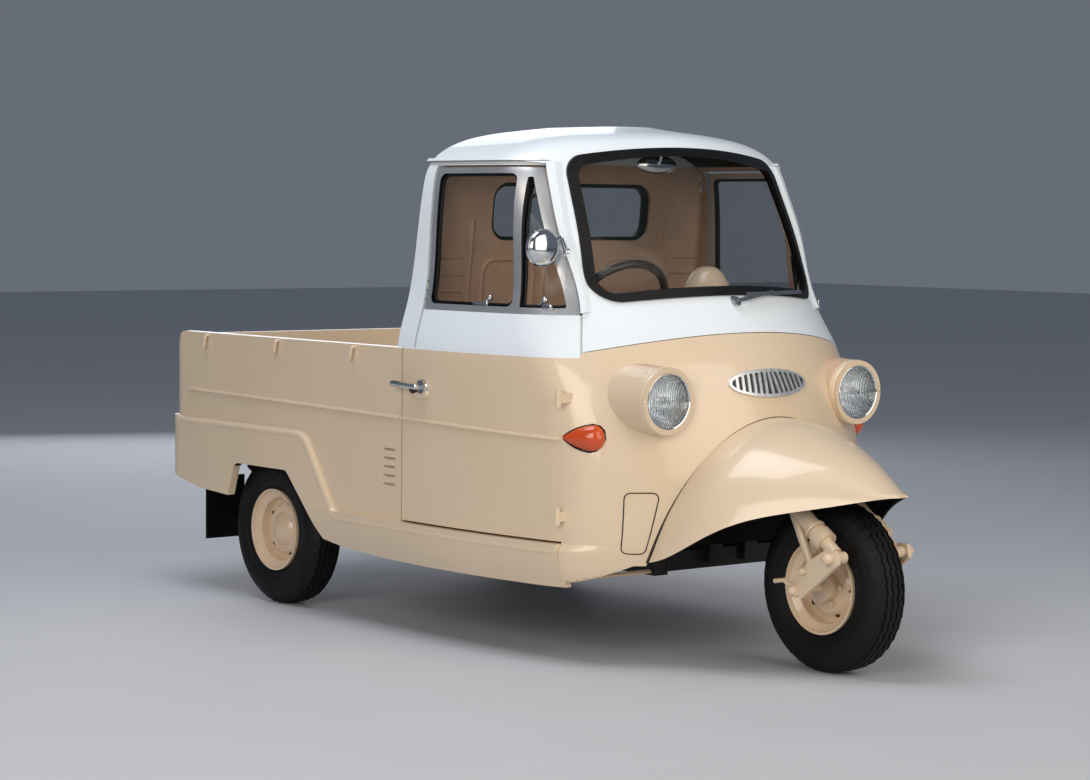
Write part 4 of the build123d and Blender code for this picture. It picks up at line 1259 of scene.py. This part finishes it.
class TRUCK_OT_stage(bpy.types.Operator):
    """Pale floor, soft lights and the camera"""

    bl_idname = "truck.stage"
    bl_label = "Stage"

    def execute(self, context):
        paint = context.scene.truck_paint
        floor = settle(fresh(bpy.ops.mesh.primitive_plane_add, size=60), "studio_floor")
        floor.data.materials.append(studio_floor(tuple(paint.floor)))
        lights = (
            # name, place, size, power, colour
            ("key_soft_box", (6.4, 0.6, 3.1), 5.6, 225, "#FFF4E4"),
            ("overhead_soft_box", (0.2, -1.6, 5.2), 2.6, 110, "#F4F7FF"),
            ("side_fill", (3.6, -6.2, 2.8), 3.6, 190, "#FFF5EA"),
            ("back_fill", (-6.0, 2.6, 2.6), 4.2, 80, "#F6F8FF"),
        )
        for name, place, size, power, tint in lights:
            bpy.ops.object.light_add(type="AREA", location=place)
            lamp = context.object
            lamp.name = name
            lamp.data.size = size
            lamp.data.energy = power
            lamp.data.color = linear(tint)[:3]
            aim = TARGET - Vector(place)
            lamp.rotation_euler = aim.to_track_quat("-Z", "Y").to_euler()
        self.sky(context)
        self.camera(context)
        return {"FINISHED"}

    def sky(self, context):
        """Even grey light from the studio's walls."""
        world = bpy.data.worlds.new("studio_walls")
        context.scene.world = world
        world.use_nodes = True
        world.node_tree.nodes.clear()
        grey = {"Color": linear("#8E96A3"), "Strength": 0.5}
        glow = add_node(world.node_tree, "ShaderNodeBackground", grey)
        add_node(world.node_tree, "ShaderNodeOutputWorld", {"Surface": glow.outputs[0]})
        context.scene.view_settings.view_transform = "Standard"

    def camera(self, context):
        """The camera, three quarters from the front and a little above the bonnet."""
        bpy.ops.object.camera_add()
        camera = context.object
        camera.name = "studio_camera"
        camera.matrix_world = camera_matrix()
        camera.data.sensor_width = 36
        camera.data.lens = context.scene.truck_sizes.camera_lens
        camera.data.clip_end = 200
        context.scene.camera = camera


# ---------------------------------------------------------------- panel and registration
STEPS = ("finishes", "tyres", "wheel_fittings", "front_suspension", "headlamps", "small_lamps", "body_lines",
         "sill_end", "shoulder", "grille_back", "bed_fittings", "window_seals", "door_hardware", "door_cards",
         "gate_hardware", "back_wall", "cab_fittings", "bench", "stage")


class TRUCK_PT_builder(bpy.types.Panel):
    """Lists the truck's sizes, colours and building steps"""

    bl_idname = "TRUCK_PT_builder"
    bl_label = "Truck"
    bl_space_type = "VIEW_3D"
    bl_region_type = "UI"
    bl_category = "Truck"

    def draw(self, context):
        for group in (context.scene.truck_sizes, context.scene.truck_paint):
            for name in group.bl_rna.properties.keys():
                if name not in ("rna_type", "name"):
                    self.layout.prop(group, name)
        for step in STEPS:
            self.layout.operator("truck." + step)


CLASSES = (TruckPaint, TruckSizes, TRUCK_OT_finishes, TRUCK_OT_tyres, TRUCK_OT_wheel_fittings,
           TRUCK_OT_front_suspension, TRUCK_OT_headlamps, TRUCK_OT_small_lamps, TRUCK_OT_body_lines,
           TRUCK_OT_sill_end, TRUCK_OT_shoulder, TRUCK_OT_grille_back, TRUCK_OT_bed_fittings,
           TRUCK_OT_window_seals, TRUCK_OT_door_hardware, TRUCK_OT_door_cards, TRUCK_OT_gate_hardware,
           TRUCK_OT_back_wall, TRUCK_OT_cab_fittings, TRUCK_OT_bench, TRUCK_OT_stage, TRUCK_PT_builder)


def register():
    for kind in CLASSES:
        bpy.utils.register_class(kind)
    bpy.types.Scene.truck_paint = PointerProperty(type=TruckPaint)
    bpy.types.Scene.truck_sizes = PointerProperty(type=TruckSizes)


def unregister():
    del bpy.types.Scene.truck_sizes
    del bpy.types.Scene.truck_paint
    for kind in reversed(CLASSES):
        bpy.utils.unregister_class(kind)


def main():
    """Build the truck's dressing step by step."""
    register()
    for step in STEPS:
        getattr(bpy.ops.truck, step)()


if __name__ == "__main__":
    main()
